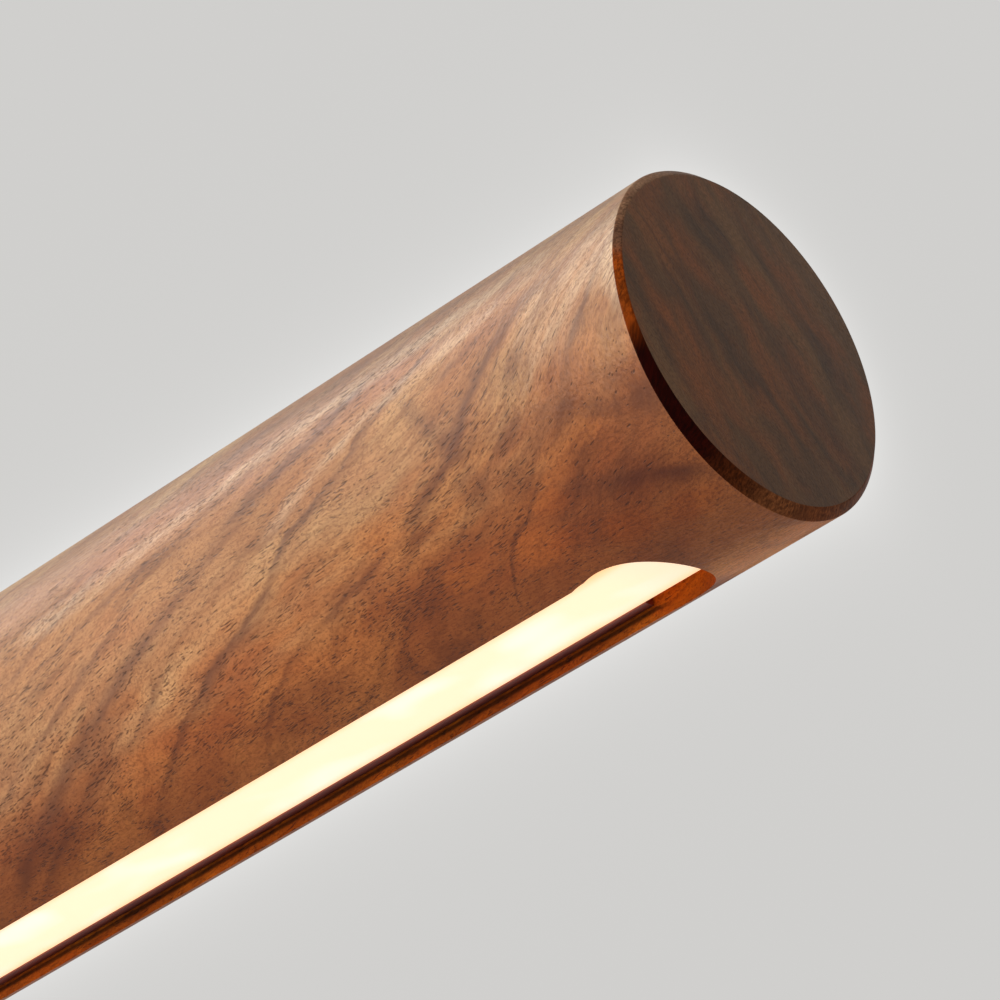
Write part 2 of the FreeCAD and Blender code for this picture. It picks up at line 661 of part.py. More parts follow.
def head_block():
    """The brass head: round at its foot, with a milled flat in front and behind for the cross bore."""
    rim, top = HEAD_D / 2, PIVOT_HEIGHT + HEAD_ABOVE_PIVOT
    head = turned([
        (0, HEAD_BOTTOM), (rim - HEAD_EDGE, HEAD_BOTTOM), (rim, HEAD_BOTTOM + HEAD_EDGE),
        (rim, top - HEAD_EDGE), (rim - HEAD_EDGE, top), (0, top),
    ])
    flat_bottom = PIVOT_HEIGHT - HEAD_FLAT_BELOW_PIVOT
    spaces = [
        block(-rim, rim, -HEAD_D, -HEAD_FLAT, flat_bottom, top + 1),
        block(-rim, rim, HEAD_FLAT, HEAD_D, flat_bottom, top + 1),
        rod(BUSH_D, -HEAD_D, HEAD_D, "y", (0, PIVOT_HEIGHT)),
        rod(STEM_D, HEAD_BOTTOM - 1, STEM_TOP),
        rod(SET_SCREW_D, 0, HEAD_D, "y", (0, HEAD_BOTTOM + HEAD_SCREW_UP)),
    ]
    return head.cut(spaces)


def stem():
    """The brass tube that stands in the base."""
    return tube(STEM_D, STEM_D - 2 * STEM_WALL, STEM_BOTTOM, STEM_TOP)


def stem_collar():
    """The collar that carries the stem's weight on the base."""
    rim, bore, top = COLLAR_D / 2, STEM_D / 2, COLLAR_BOTTOM + COLLAR_HEIGHT
    collar = turned([
        (bore, COLLAR_BOTTOM), (rim, COLLAR_BOTTOM), (rim, top - COLLAR_EDGE), (rim - COLLAR_EDGE, top),
        (bore, top),
    ])
    return collar.cut(rod(SET_SCREW_D, 0, COLLAR_D, "y", (0, COLLAR_BOTTOM + COLLAR_HEIGHT / 2)))


def thrust_washer():
    """The slippery washer between the collar and the base's bush."""
    return tube(THRUST_WASHER_D, THRUST_WASHER_BORE_D, SWIVEL_TOP, COLLAR_BOTTOM)


def swivel_bush():
    """The flanged brass bush that the stem turns in."""
    bore, barrel, flange = STEM_D / 2 + RUNNING_CLEARANCE, SWIVEL_BUSH_D / 2, SWIVEL_FLANGE_D / 2
    return turned([
        (bore, SWIVEL_BUSH_BOTTOM), (barrel, SWIVEL_BUSH_BOTTOM), (barrel, BASE_TOP), (flange, BASE_TOP),
        (flange, SWIVEL_TOP), (bore, SWIVEL_TOP),
    ])


def stem_plug():
    """The threaded plug fixed in the foot of the stem."""
    return tube(STEM_D - 2 * STEM_WALL, BOLT_D, STEM_BOTTOM, STEM_BOTTOM + STEM_PLUG_LENGTH)


def stem_washer():
    """The washer that keeps the stem from lifting out of its bush."""
    return tube(STEM_WASHER_D, BOLT_D, STEM_BOTTOM - STEM_WASHER, STEM_BOTTOM)


def stem_bolt():
    """The socket-head bolt up into the stem's plug."""
    seat = STEM_BOTTOM - STEM_WASHER
    head = rod(BOLT_HEAD_D, seat - BOLT_HEAD, seat)
    bolt = head.fuse(rod(BOLT_D, seat, seat + BOLT_LENGTH)).removeSplitter()
    return bolt.cut(hexagon(BOLT_KEY, seat - BOLT_HEAD - 1, seat - BOLT_HEAD / 2))


def ballast_screw_forms():
    """The ballast's countersunk screws, driven upwards into the wood."""
    forms = []
    for x, y in ring_of(BALLAST_SCREW_COUNT, BALLAST_SCREW_PCD, 45.0):
        form = countersunk(BALLAST_SCREW_D, BALLAST_SCREW_HEAD_D, BALLAST_SCREW_LENGTH)
        forms.append(seat_ballast_screw(form, x, y))
    return forms


def seat_ballast_screw(shape, x, y):
    """Turns a screw upright, head down, and puts it in the ballast's underside."""
    shape.rotate(Vector(), AXES["x"], 180)
    shape.translate(Vector(x, y, PAD_THICKNESS))
    return shape


def ballast_screws():
    screws = []
    places = ring_of(BALLAST_SCREW_COUNT, BALLAST_SCREW_PCD, 45.0)
    for (x, y), form in zip(places, ballast_screw_forms()):
        socket = key_socket(BALLAST_SCREW_D, BALLAST_SCREW_HEAD_D)
        screws.append(form.cut(seat_ballast_screw(socket, x, y)))
    return Part.makeCompound(screws)


def ballast():
    """The steel plate in the base, bored for the bush and counterbored for the stem's washer."""
    plate = rod(BALLAST_D, PAD_THICKNESS, BALLAST_TOP)
    bores = [rod(SWIVEL_BUSH_D, 0, BASE_TOP), rod(BALLAST_COUNTERBORE_D, 0, SWIVEL_BUSH_BOTTOM)]
    return plate.cut(bores + ballast_screw_forms())


def base_disc():
    """The turned walnut base: small top edge, deep foot edge, and pockets for the ballast and the pad."""
    rim, foot = BASE_D / 2, BASE_D / 2 - BASE_FOOT_EDGE
    disc = turned([
        (0, BASE_BOTTOM), (foot, BASE_BOTTOM), (rim, BASE_BOTTOM + BASE_FOOT_EDGE),
        (rim, BASE_TOP - BASE_TOP_EDGE), (rim - BASE_TOP_EDGE, BASE_TOP), (0, BASE_TOP),
    ])
    spaces = [
        rod(PAD_D + 2 * BALLAST_CLEARANCE, 0, PAD_THICKNESS),
        rod(BALLAST_D + 2 * BALLAST_CLEARANCE, 0, BALLAST_TOP),
        rod(SWIVEL_BUSH_D, 0, BASE_TOP + 1),
    ]
    return disc.cut(spaces + ballast_screw_forms())


def base_pad():
    """The cork and rubber pad that the lamp stands on."""
    return rod(PAD_D, 0, PAD_THICKNESS)


# ---- Every piece, in the order in which the lamp is put together ----------------------------------------------

ON_STAND = {
    "base_disc": base_disc(),
    "ballast": ballast(),
    "ballast_screws": ballast_screws(),
    "swivel_bush": swivel_bush(),
    "thrust_washer": thrust_washer(),
    "stem": stem(),
    "stem_plug": stem_plug(),
    "stem_collar": stem_collar(),
    "collar_screw": set_screw(COLLAR_BOTTOM + COLLAR_HEIGHT / 2),
    "stem_washer": stem_washer(),
    "stem_bolt": stem_bolt(),
    "base_pad": base_pad(),
    "head_block": head_block(),
    "head_screw": set_screw(HEAD_BOTTOM + HEAD_SCREW_UP),
}

ON_BAR = {
    "front_bush": flanged_bush(HEAD_FRONT - BUSH_FLANGE, -1),
    "rear_bush": flanged_bush(REAR_FLANGE, 1),
    "magnet_cup": magnet_cup(),
    "magnet": magnet(),
    "tilt_spindle": tilt_spindle(),
    "spring_washer": spring_washer(),
    "tension_knob": tension_knob(),
    "bar_body": bar_body(),
    "keeper_plate": keeper_plate(),
    "keeper_screws": keeper_screws(),
    "light_channel": light_channel(),
    "channel_screws": channel_screws(),
    "led_board": led_board(),
    "led_chips": led_chips(),
    "diffuser": diffuser(),
    "cell_tray": cell_tray(),
    "cell": cell(),
    "cell_contacts": cell_contacts(),
    "cell_leads": cell_leads(),
    "lamp_leads": lamp_leads(),
    "control_board": control_board(),
    "board_components": board_components(),
    "inlet": inlet(),
    "cap_ring": cap_ring(),
    "end_cap": end_cap(),
    "switch_body": switch_body(),
    "switch_plunger": switch_plunger(),
    "button": button(),
}

PIECES = dict(ON_STAND)
PIECES.update({node: on_bar(shape) for node, shape in ON_BAR.items()})

os.makedirs("parts", exist_ok=True)
for node, shape in PIECES.items():
    if not shape.isValid() or any(solid.Volume <= 0 for solid in shape.Solids):
        raise ValueError(node + " is not a sound solid")
    shape.exportStep("parts/" + node + ".step")
    print(node, len(shape.Solids), round(shape.Volume, 1))
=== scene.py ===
import json
import math

import bmesh
import bpy
from mathutils import Matrix, Vector


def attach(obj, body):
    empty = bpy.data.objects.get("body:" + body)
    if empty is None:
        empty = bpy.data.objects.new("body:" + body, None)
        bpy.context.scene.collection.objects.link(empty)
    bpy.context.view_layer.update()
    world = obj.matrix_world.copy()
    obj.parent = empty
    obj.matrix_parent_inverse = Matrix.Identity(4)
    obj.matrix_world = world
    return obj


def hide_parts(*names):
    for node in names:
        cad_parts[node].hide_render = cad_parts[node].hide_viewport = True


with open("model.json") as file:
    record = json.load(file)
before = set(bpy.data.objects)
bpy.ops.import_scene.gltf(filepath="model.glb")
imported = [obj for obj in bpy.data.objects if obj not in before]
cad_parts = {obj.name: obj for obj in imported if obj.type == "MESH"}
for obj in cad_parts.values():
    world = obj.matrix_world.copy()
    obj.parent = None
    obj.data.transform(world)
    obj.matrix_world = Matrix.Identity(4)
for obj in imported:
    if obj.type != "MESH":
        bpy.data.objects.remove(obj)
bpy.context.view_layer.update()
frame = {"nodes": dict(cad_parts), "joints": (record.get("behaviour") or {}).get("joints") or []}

# ---- Camera --------------------------------------------------------
# A long lens close to the light bar's free end, from below and in front of it. The bar leans
# back on its pivot by the angle that it has at rest.

BAR_TILT = math.radians(15.7)
BAR_REACH = 0.226
PIVOT = Vector(next(joint for joint in frame["joints"] if joint["name"] == "tilt")["pos_m"])
BAR_END = PIVOT + BAR_REACH * Vector((math.cos(BAR_TILT), 0, math.sin(BAR_TILT)))
LENS_FROM_BAR_END = Vector((0.26412, -0.32663, -0.13488))
LOOK_ALONG = Vector((-0.64357, 0.71421, 0.27517))


def aimed(name, data, place, direction):
    """Puts a camera or a soft lamp at a place, facing along a direction."""
    holder = bpy.data.objects.new(name, data)
    holder.location = place
    holder.rotation_mode = "QUATERNION"
    holder.rotation_quaternion = direction.to_track_quat("-Z", "Y")
    bpy.context.scene.collection.objects.link(holder)
    return holder


camera = aimed("camera", bpy.data.cameras.new("camera"), BAR_END + LENS_FROM_BAR_END, LOOK_ALONG)
camera.data.sensor_width = 36
camera.data.lens = 178.13
camera.data.clip_start = 0.02
camera.data.clip_end = 100
bpy.context.scene.camera = camera
bpy.context.scene.view_settings.view_transform = "Standard"

# ---- Base: turned walnut disc --------------------------------------
# A face-turned walnut disc with an undercut foot. It is turned from one board, so the figure
# runs across it in long lines, and it is oiled to a satin.

MM = 0.001
AT_ORIGIN = Matrix.Diagonal((MM, MM, MM, 1))
UPRIGHT = Matrix.Identity(4)
ALONG_X = Matrix.Rotation(math.radians(90), 4, "Y")
ALONG_Y = Matrix.Rotation(math.radians(-90), 4, "X")
TURNED_STEPS = 160
SHARP_OVER, SMOOTH_UNDER = math.radians(20), math.radians(30)


def turned(outline, lie=UPRIGHT, steps=TURNED_STEPS):
    """A lathe-turned form. outline is its half section, as (radius, height) points in mm, and
    lie turns its axis."""
    shape = bmesh.new()
    ring = [shape.verts.new((radius, 0, height)) for radius, height in outline]
    pairs = zip(ring, ring[1:] + ring[:1])
    edges = [shape.edges.new(pair) for pair in pairs if pair[0].co.x > 0 or pair[1].co.x > 0]
    bmesh.ops.spin(shape, geom=ring + edges, cent=(0, 0, 0), axis=(0, 0, 1), angle=math.tau,
                   steps=steps, use_merge=True)
    bmesh.ops.remove_doubles(shape, verts=shape.verts, dist=1e-5)
    bmesh.ops.transform(shape, matrix=lie, verts=shape.verts)
    bmesh.ops.recalc_face_normals(shape, faces=shape.faces)
    return shape


def soften(shape, width, segments=3):
    """Breaks the sharp edges of a form."""
    sharp = [edge for edge in shape.edges if edge.is_manifold and edge.calc_face_angle(0) > SHARP_OVER]
    bmesh.ops.bevel(shape, geom=sharp, offset=width, offset_type="OFFSET", affect="EDGES",
                    segments=segments, profile=0.5, material=-1, clamp_overlap=True)
    return shape


def as_object(name, shape):
    """Makes an object in the scene from a form."""
    mesh = bpy.data.meshes.new(name)
    shape.to_mesh(mesh)
    shape.free()
    made = bpy.data.objects.new(name, mesh)
    bpy.context.scene.collection.objects.link(made)
    return made


def piece(name, shape, body, finishes, replaced, place=AT_ORIGIN):
    """Makes a piece of the lamp from a form, and puts it on its body instead of plain solids."""
    bmesh.ops.transform(shape, matrix=place, verts=shape.verts)
    made = as_object(name, shape)
    for finish in finishes:
        made.data.materials.append(finish)
    made.data.shade_smooth()
    made.data.set_sharp_from_angle(angle=SMOOTH_UNDER)
    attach(made, body)
    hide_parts(*replaced)
    return made


def paint(red, green, blue):
    """A colour from its 0 to 255 values."""
    shares = (red / 255, green / 255, blue / 255)
    return [((c + 0.055) / 1.055) ** 2.4 if c > 0.0404 else c / 12.92 for c in shares] + [1]


def add_node(finish, kind, inputs=None, **settings):
    """Adds a shader node to a finish. A value in inputs is a number, a colour or another node's
    output."""
    made = finish.node_tree.nodes.new("ShaderNode" + kind)
    for name, value in settings.items():
        setattr(made, name, value)
    for socket, value in (inputs or {}).items():
        if isinstance(value, bpy.types.NodeSocket):
            finish.node_tree.links.new(value, made.inputs[socket])
        else:
            made.inputs[socket].default_value = value
    return made


def calc(finish, operation, *values):
    """A sum on numbers."""
    return add_node(finish, "Math", dict(enumerate(values)), operation=operation).outputs[0]


def times(finish, first, second):
    return calc(finish, "MULTIPLY", first, second)


def plus(finish, first, second):
    return calc(finish, "ADD", first, second)


def minus(finish, first, second):
    return calc(finish, "SUBTRACT", first, second)


def squares(finish, first, second):
    """The sum of two numbers' squares."""
    return plus(finish, calc(finish, "POWER", first, 2.0), calc(finish, "POWER", second, 2.0))


def vector_calc(finish, operation, *values):
    """A sum on vectors."""
    return add_node(finish, "VectorMath", dict(enumerate(values)), operation=operation).outputs[0]


def scaled(finish, vector, sizes):
    """Coordinates counted in units of these three sizes."""
    return vector_calc(finish, "MULTIPLY", vector, [1 / size for size in sizes])


def split(finish, vector):
    """A vector's three numbers."""
    return add_node(finish, "SeparateXYZ", {0: vector}).outputs[:3]


def join(finish, x, y, z):
    """A vector from three numbers."""
    return add_node(finish, "CombineXYZ", {0: x, 1: y, 2: z}).outputs[0]


def noise(finish, vector, sizes, detail=2.0, rough=0.5, colour=False):
    """A cloudy pattern whose clouds are of these three sizes."""
    made = add_node(finish, "TexNoise", {"Vector": scaled(finish, vector, sizes), "Scale": 1.0,
                                         "Detail": detail, "Roughness": rough})
    return made.outputs["Color" if colour else "Fac"]


def cells(finish, vector, sizes):
    """Cells of these sizes: how far a point is from its cell's middle, and a number per cell."""
    made = add_node(finish, "TexVoronoi", {"Vector": scaled(finish, vector, sizes), "Scale": 1.0})
    number = add_node(finish, "SeparateColor", {0: made.outputs["Color"]}).outputs[0]
    return made.outputs["Distance"], number


def fade(finish, value, low, high, to_low=0.0, to_high=1.0):
    """A smooth step between two values."""
    made = add_node(finish, "MapRange", {"Value": value, "From Min": low, "From Max": high,
                                         "To Min": to_low, "To Max": to_high},
                    interpolation_type="SMOOTHSTEP")
    return made.outputs["Result"]


def blend_colours(finish, share, first, second, how="MIX"):
    return add_node(finish, "Mix", {0: share, 6: first, 7: second}, data_type="RGBA",
                    blend_type=how).outputs[2]


def new_finish(name, **surface):
    """An empty finish and its surface shader. The shader's values are given by name, with _ for
    a space."""
    finish = bpy.data.materials.new(name)
    finish.use_nodes = True
    finish.node_tree.nodes.clear()
    shader = add_node(finish, "BsdfPrincipled",
                      {key.replace("_", " "): value for key, value in surface.items()})
    add_node(finish, "OutputMaterial", {"Surface": shader.outputs[0]})
    return finish, shader


def connect(finish, output, node, socket):
    finish.node_tree.links.new(output, node.inputs[socket])


def in_piece(finish, place=(0, 0, 0), turn=(0, 0, 0)):
    """Coordinates in mm, measured from a place on the lamp and along a piece's own axes."""
    here = add_node(finish, "TexCoord").outputs["Object"]
    return add_node(finish, "Mapping", {"Vector": here, "Location": place, "Rotation": turn,
                                        "Scale": (MM, MM, MM)}, vector_type="TEXTURE").outputs[0]


def wander(finish, here, sizes, by):
    """Shifts coordinates a little, by a slow noise."""
    shift = vector_calc(finish, "SUBTRACT", noise(finish, here, sizes, colour=True), (0.5, 0.5, 0.5))
    return vector_calc(finish, "ADD", here, vector_calc(finish, "MULTIPLY", shift, by))


def bump(finish, shader, height, depth, strength=1.0):
    """Relief on a surface. depth is in mm."""
    made = add_node(finish, "Bump", {"Height": height, "Distance": depth * MM, "Strength": strength})
    connect(finish, made.outputs[0], shader, "Normal")


def ridge_lines(finish, rings, sizes, width, breaks):
    """Thin wavy lines along the growth rings, broken here and there."""
    level = noise(finish, rings, sizes, 3.5, 0.55)
    from_line = calc(finish, "ABSOLUTE", minus(finish, level, 0.5))
    broken = noise(finish, rings, breaks, 3.0, 0.6)
    return times(finish, fade(finish, from_line, width, 0.0), fade(finish, broken, 0.36, 0.62))


def walnut_grain(finish, shader, fibre, rings, tones, pore_share=0.8, red=0.5, lines=0.6,
                 gloss=0.46, marks=(), curl=0.0):
    """Oiled walnut. fibre is in mm with X along the fibre, and rings has X across the growth
    rings. tones are its light, middle, warm, dark and line colours. marks are shares of the
    surface, each with how strong it is and its tone, and curl is how far curled fibre stands up."""
    light, middle, warm, dark, line = tones
    broad = noise(finish, rings, (5.0, 34, 55), 4.0, 0.6)
    colour = blend_colours(finish, fade(finish, broad, 0.38, 0.60), light, middle)
    patches = noise(finish, fibre, (13, 7, 6), 3.0, 0.6)
    colour = blend_colours(finish, times(finish, fade(finish, patches, 0.42, 0.64), red), colour, warm)
    shade = noise(finish, rings, (2.6, 9, 16), 4.0, 0.65)
    colour = blend_colours(finish, fade(finish, shade, 0.50, 0.76, 0.0, 0.6), colour, dark)
    bold = ridge_lines(finish, rings, (9.0, 30, 46), 0.040, (3, 4, 6))
    thin = ridge_lines(finish, rings, (4.2, 16, 26), 0.030, (2, 3, 5))
    smoke = fade(finish, noise(finish, rings, (1.6, 4, 9), 3.0, 0.6), 0.32, 0.62, 0.35, 1.0)
    for mark, strength, tone in marks:
        share = times(finish, mark, times(finish, smoke, strength))
        colour = blend_colours(finish, share, colour, tone)
    ridge = calc(finish, "MAXIMUM", bold, times(finish, thin, 0.45))
    colour = blend_colours(finish, times(finish, ridge, lines), colour, line)
    fine = noise(finish, fibre, (5, 0.30, 0.30), 3.0, 0.65)
    colour = blend_colours(finish, fade(finish, fine, 0.35, 0.7, 0.0, 0.30), colour, dark)
    speck = noise(finish, fibre, (0.42, 0.22, 0.22), 2.0, 0.75)
    colour = blend_colours(finish, fade(finish, speck, 0.46, 0.64, 0.0, 0.50), colour, dark)
    clusters = noise(finish, rings, (3, 4, 7), 3.0, 0.6)
    clusters = plus(finish, clusters, times(finish, bold, 0.2))
    for mark, strength, tone in marks:
        clusters = plus(finish, clusters, times(finish, mark, 0.08))
    chance = times(finish, fade(finish, clusters, 0.45, 0.66, 0.08, 1.0), pore_share)
    pores = None
    for length, width, slant in ((2.1, 0.27, 0.0), (1.4, 0.22, 0.05), (0.9, 0.18, -0.05)):
        lie = add_node(finish, "Mapping", {"Vector": fibre, "Rotation": (0, slant, slant)}).outputs[0]
        from_middle, number = cells(finish, lie, (length, width, width))
        dash = times(finish, fade(finish, from_middle, 0.33, 0.17),
                     calc(finish, "LESS_THAN", number, chance))
        pores = dash if pores is None else calc(finish, "MAXIMUM", pores, dash)
    pore_colour = blend_colours(finish, 0.75, colour, paint(44, 18, 9))
    colour = blend_colours(finish, times(finish, pores, 0.82), colour, pore_colour)
    connect(finish, colour, shader, "Base Color")
    connect(finish, fade(finish, fine, 0.25, 0.75, gloss - 0.05, gloss + 0.08), shader, "Roughness")
    relief = minus(finish, times(finish, fine, 0.2), pores)
    curled = times(finish, noise(finish, fibre, (0.5, 0.32, 0.32), 2.0, 0.6), curl)
    bump(finish, shader, plus(finish, relief, curled), 0.03)
    return colour


WALNUT_TONES = (paint(190, 138, 88), paint(163, 107, 67), paint(164, 92, 52), paint(102, 58, 36),
                paint(94, 62, 50))
BOARD_HEART = (0.03, 0.02, -0.075)
BOARD_LIE = (math.radians(4), math.radians(3), math.radians(24))

base_walnut, base_shader = new_finish("base_walnut", Specular_IOR_Level=0.4)
board = wander(base_walnut, in_piece(base_walnut, BOARD_HEART, BOARD_LIE), (70, 40, 40), (0, 16, 10))
board_x, board_y, board_z = split(base_walnut, board)
ring_radius = calc(base_walnut, "SQRT",
                   squares(base_walnut, board_y, times(base_walnut, board_z, 1.3)))
walnut_grain(base_walnut, base_shader, board, join(base_walnut, ring_radius, 0.0, board_x),
             WALNUT_TONES, 0.5, 0.35, 0.6)

shape = turned([(0, 13.5), (57.2, 13.5), (57.2, 2.5), (59.2, 2.5), (59.2, 1), (66, 1), (70, 5),
                (70, 22.8), (68.8, 24), (0, 24)])
piece("turned_base", soften(shape, 0.35), "base", [base_walnut], ["base_disc"])

# ---- Base: ballast, its screws, and the pad ------------------------
# A sawn steel plate that four screws hold up in the wood, and a die-cut pad of cork and rubber
# glued under it.


def ground_metal(name, colour, rough, scratch=(14, 0.25, 0.25), relief=0.0015):
    """A metal with fine ground lines and a slightly uneven sheen."""
    finish, shader = new_finish(name, Metallic=1.0)
    where = in_piece(finish)
    lines = noise(finish, where, scratch, 3.0, 0.6)
    cloud = noise(finish, where, (9, 9, 9), 3.0, 0.6)
    darker = [c * 0.72 for c in colour[:3]] + [1]
    connect(finish, blend_colours(finish, times(finish, cloud, 0.5), colour, darker), shader, "Base Color")
    sheen = plus(finish, fade(finish, lines, 0.3, 0.7, rough - 0.05, rough + 0.07),
                 fade(finish, cloud, 0.35, 0.7, -0.06, 0.06))
    connect(finish, sheen, shader, "Roughness")
    bump(finish, shader, lines, relief)
    return finish


def refinish(**finishes):
    """Gives a finish to each solid that keeps its plain shape."""
    for node, finish in finishes.items():
        materials = frame["nodes"][node].data.materials
        materials.clear()
        materials.append(finish)


sawn_steel = ground_metal("sawn_steel", paint(150, 150, 150), 0.42)
fastener_steel = ground_metal("fastener_steel", paint(172, 172, 174), 0.3, (0.6, 0.6, 0.6))
cork, cork_shader = new_finish("cork_rubber", Roughness=0.88)
from_grain, grain_number = cells(cork, in_piece(cork), (1.6, 1.6, 1.6))
connect(cork, blend_colours(cork, fade(cork, grain_number, 0.2, 0.9), paint(120, 92, 68),
                            paint(84, 62, 46)), cork_shader, "Base Color")
bump(cork, cork_shader, from_grain, 0.15, 0.6)
refinish(ballast=sawn_steel, ballast_screws=fastener_steel, base_pad=cork)

# ---- Base: swivel bush and thrust washer ---------------------------
# The flanged brass bush that the stem turns in is pressed into the wood. A slippery plastic
# washer lies on its flange, and the collar runs on that.


def turned_brass(name, centre=(0, 0, 0), turn=(0, 0, 0), rough=0.26):
    """Lathe-turned brass under a thin lacquer: tool lines round the axis, and a little tarnish."""
    finish, shader = new_finish(name, Metallic=1.0, Coat_Weight=0.25, Coat_Roughness=0.18)
    where = in_piece(finish, centre, turn)
    x, y, z = split(finish, where)
    tool = join(finish, calc(finish, "SQRT", squares(finish, x, y)), 0.0, z)
    lines = noise(finish, tool, (0.09, 1, 0.09), 2.0, 0.6)
    cloud = noise(finish, where, (7, 7, 7), 3.0, 0.6)
    colour = blend_colours(finish, fade(finish, cloud, 0.35, 0.75), paint(212, 172, 108),
                           paint(176, 134, 78))
    connect(finish, colour, shader, "Base Color")
    sheen = plus(finish, fade(finish, lines, 0.3, 0.7, rough - 0.04, rough + 0.06),
                 fade(finish, cloud, 0.3, 0.75, -0.03, 0.09))
    connect(finish, sheen, shader, "Roughness")
    bump(finish, shader, lines, 0.0022)
    return finish


def moulded(name, colour, rough, relief=0.02):
    """Injection-moulded plastic with a fine spark texture."""
    finish, shader = new_finish(name)
    where = in_piece(finish)
    spark = noise(finish, where, (0.22, 0.22, 0.22), 2.0, 0.6)
    deeper = [c * 0.86 for c in colour[:3]] + [1]
    connect(finish, blend_colours(finish, noise(finish, where, (6, 6, 6)), colour, deeper), shader,
            "Base Color")
    connect(finish, fade(finish, spark, 0.3, 0.7, rough - 0.06, rough + 0.06), shader, "Roughness")
    bump(finish, shader, spark, relief)
    return finish


stand_brass = turned_brass("stand_brass")
ivory_plastic = moulded("ivory_plastic", paint(222, 214, 196), 0.4)

COLLAR_FOOT = 26.3
shape = turned([(6.05, 8), (8, 8), (8, 24), (14, 24), (14, 25.5), (6.05, 25.5)])
piece("base_bush", soften(shape, 0.25), "base", [stand_brass], ["swivel_bush"])
shape = turned([(6.4, 25.5), (11, 25.5), (11, COLLAR_FOOT), (6.4, COLLAR_FOOT)])
piece("collar_washer", soften(shape, 0.12), "base", [ivory_plastic], ["thrust_washer"])

# ---- Stem ----------------------------------------------------------
# Drawn brass tube, polished along its length, with a turned collar that rests on the base. A
# plug, washer and bolt in its foot hold it down, and a set screw holds the collar.

STEM_R, STEM_BORE_R, STEM_FOOT, STEM_HEAD = 6, 4.5, 7.85, 319.0
COLLAR_R, COLLAR_HEIGHT, SET_SCREW_R = 12, 8, 2

drawn_brass, drawn_shader = new_finish("drawn_brass", Metallic=1.0, Coat_Weight=0.25,
                                       Coat_Roughness=0.16)
tube_place = in_piece(drawn_brass)
draw_lines = noise(drawn_brass, tube_place, (0.12, 0.12, 30), 3.0, 0.6)
tarnish = noise(drawn_brass, tube_place, (9, 9, 26), 3.0, 0.6)
connect(drawn_brass, blend_colours(drawn_brass, fade(drawn_brass, tarnish, 0.35, 0.75),
                                   paint(214, 174, 110), paint(180, 138, 82)),
        drawn_shader, "Base Color")
connect(drawn_brass, plus(drawn_brass, fade(drawn_brass, draw_lines, 0.3, 0.7, 0.2, 0.32),
                          fade(drawn_brass, tarnish, 0.3, 0.75, -0.02, 0.08)),
        drawn_shader, "Roughness")
bump(drawn_brass, drawn_shader, draw_lines, 0.002)

shape = turned([(STEM_BORE_R, STEM_FOOT), (STEM_R, STEM_FOOT), (STEM_R, STEM_HEAD),
                (STEM_BORE_R, STEM_HEAD)], steps=96)
piece("stem_tube", soften(shape, 0.2), "stem", [drawn_brass], ["stem"])


def cut(shape, cutters):
    """A form with others cut out of it. All are in mm, and the result is a form again."""
    parts = [as_object("form", form) for form in [shape, *cutters]]
    for cutter in parts[1:]:
        boolean = parts[0].modifiers.new("cut", "BOOLEAN")
        boolean.operation = "DIFFERENCE"
        boolean.solver = "EXACT"
        boolean.object = cutter
    evaluated = parts[0].evaluated_get(bpy.context.evaluated_depsgraph_get())
    result = bmesh.new()
    result.from_mesh(evaluated.to_mesh())
    evaluated.to_mesh_clear()
    for part in parts:
        mesh = part.data
        bpy.data.objects.remove(part)
        bpy.data.meshes.remove(mesh)
    bmesh.ops.remove_doubles(result, verts=result.verts, dist=1e-4)
    return result


def rod(radius, start, end, lie=UPRIGHT, at=(0, 0, 0), steps=96):
    """A round bar from start to end along an axis."""
    shape = bmesh.new()
    bmesh.ops.create_cone(shape, cap_ends=True, segments=steps, radius1=radius, radius2=radius,
                          depth=end - start, matrix=Matrix.Translation(at) @ lie
                          @ Matrix.Translation((0, 0, (start + end) / 2)))
    return shape


shape = turned([(STEM_R, COLLAR_FOOT), (COLLAR_R, COLLAR_FOOT),
                (COLLAR_R, COLLAR_FOOT + COLLAR_HEIGHT), (STEM_R, COLLAR_FOOT + COLLAR_HEIGHT)])
shape = cut(soften(shape, 0.7, 4), [
    rod(SET_SCREW_R, 0, 20, ALONG_Y, (0, 0, COLLAR_FOOT + COLLAR_HEIGHT / 2), 48)])
piece("stem_collar_ring", shape, "stem", [stand_brass], ["stem_collar"])
refinish(stem_plug=stand_brass, collar_screw=fastener_steel, stem_washer=fastener_steel,
         stem_bolt=fastener_steel)

# ---- Head of the stem ----------------------------------------------
# A turned brass block with a flat milled in front and behind, bored across for two flanged
# plastic bushes. A set screw from behind holds it on the stem.

HEAD_R, HEAD_FOOT, HEAD_TOP = 13, 306, 343
HEAD_FLAT, HEAD_FLAT_FOOT = 11, 318
BUSH_R, FLANGE = 5.5, 0.8
BAR_AXIS_Y = PIVOT.y / MM
PIVOT_HEIGHT = PIVOT.z / MM


def block(low, high):
    """A rectangular block between two corners."""
    low, high = Vector(low), Vector(high)
    shape = bmesh.new()
    bmesh.ops.create_cube(shape, size=1, matrix=Matrix.Translation((low + high) / 2)
                          @ Matrix.Diagonal((*(high - low), 1)))
    return shape


def break_edges(made, width, over):
    """Breaks the edges of a piece that turn by more than this many degrees. width is in mm."""
    edge = made.modifiers.new("broken_edges", "BEVEL")
    edge.width = width * MM
    edge.segments = 2
    edge.limit_method = "ANGLE"
    edge.angle_limit = math.radians(over)


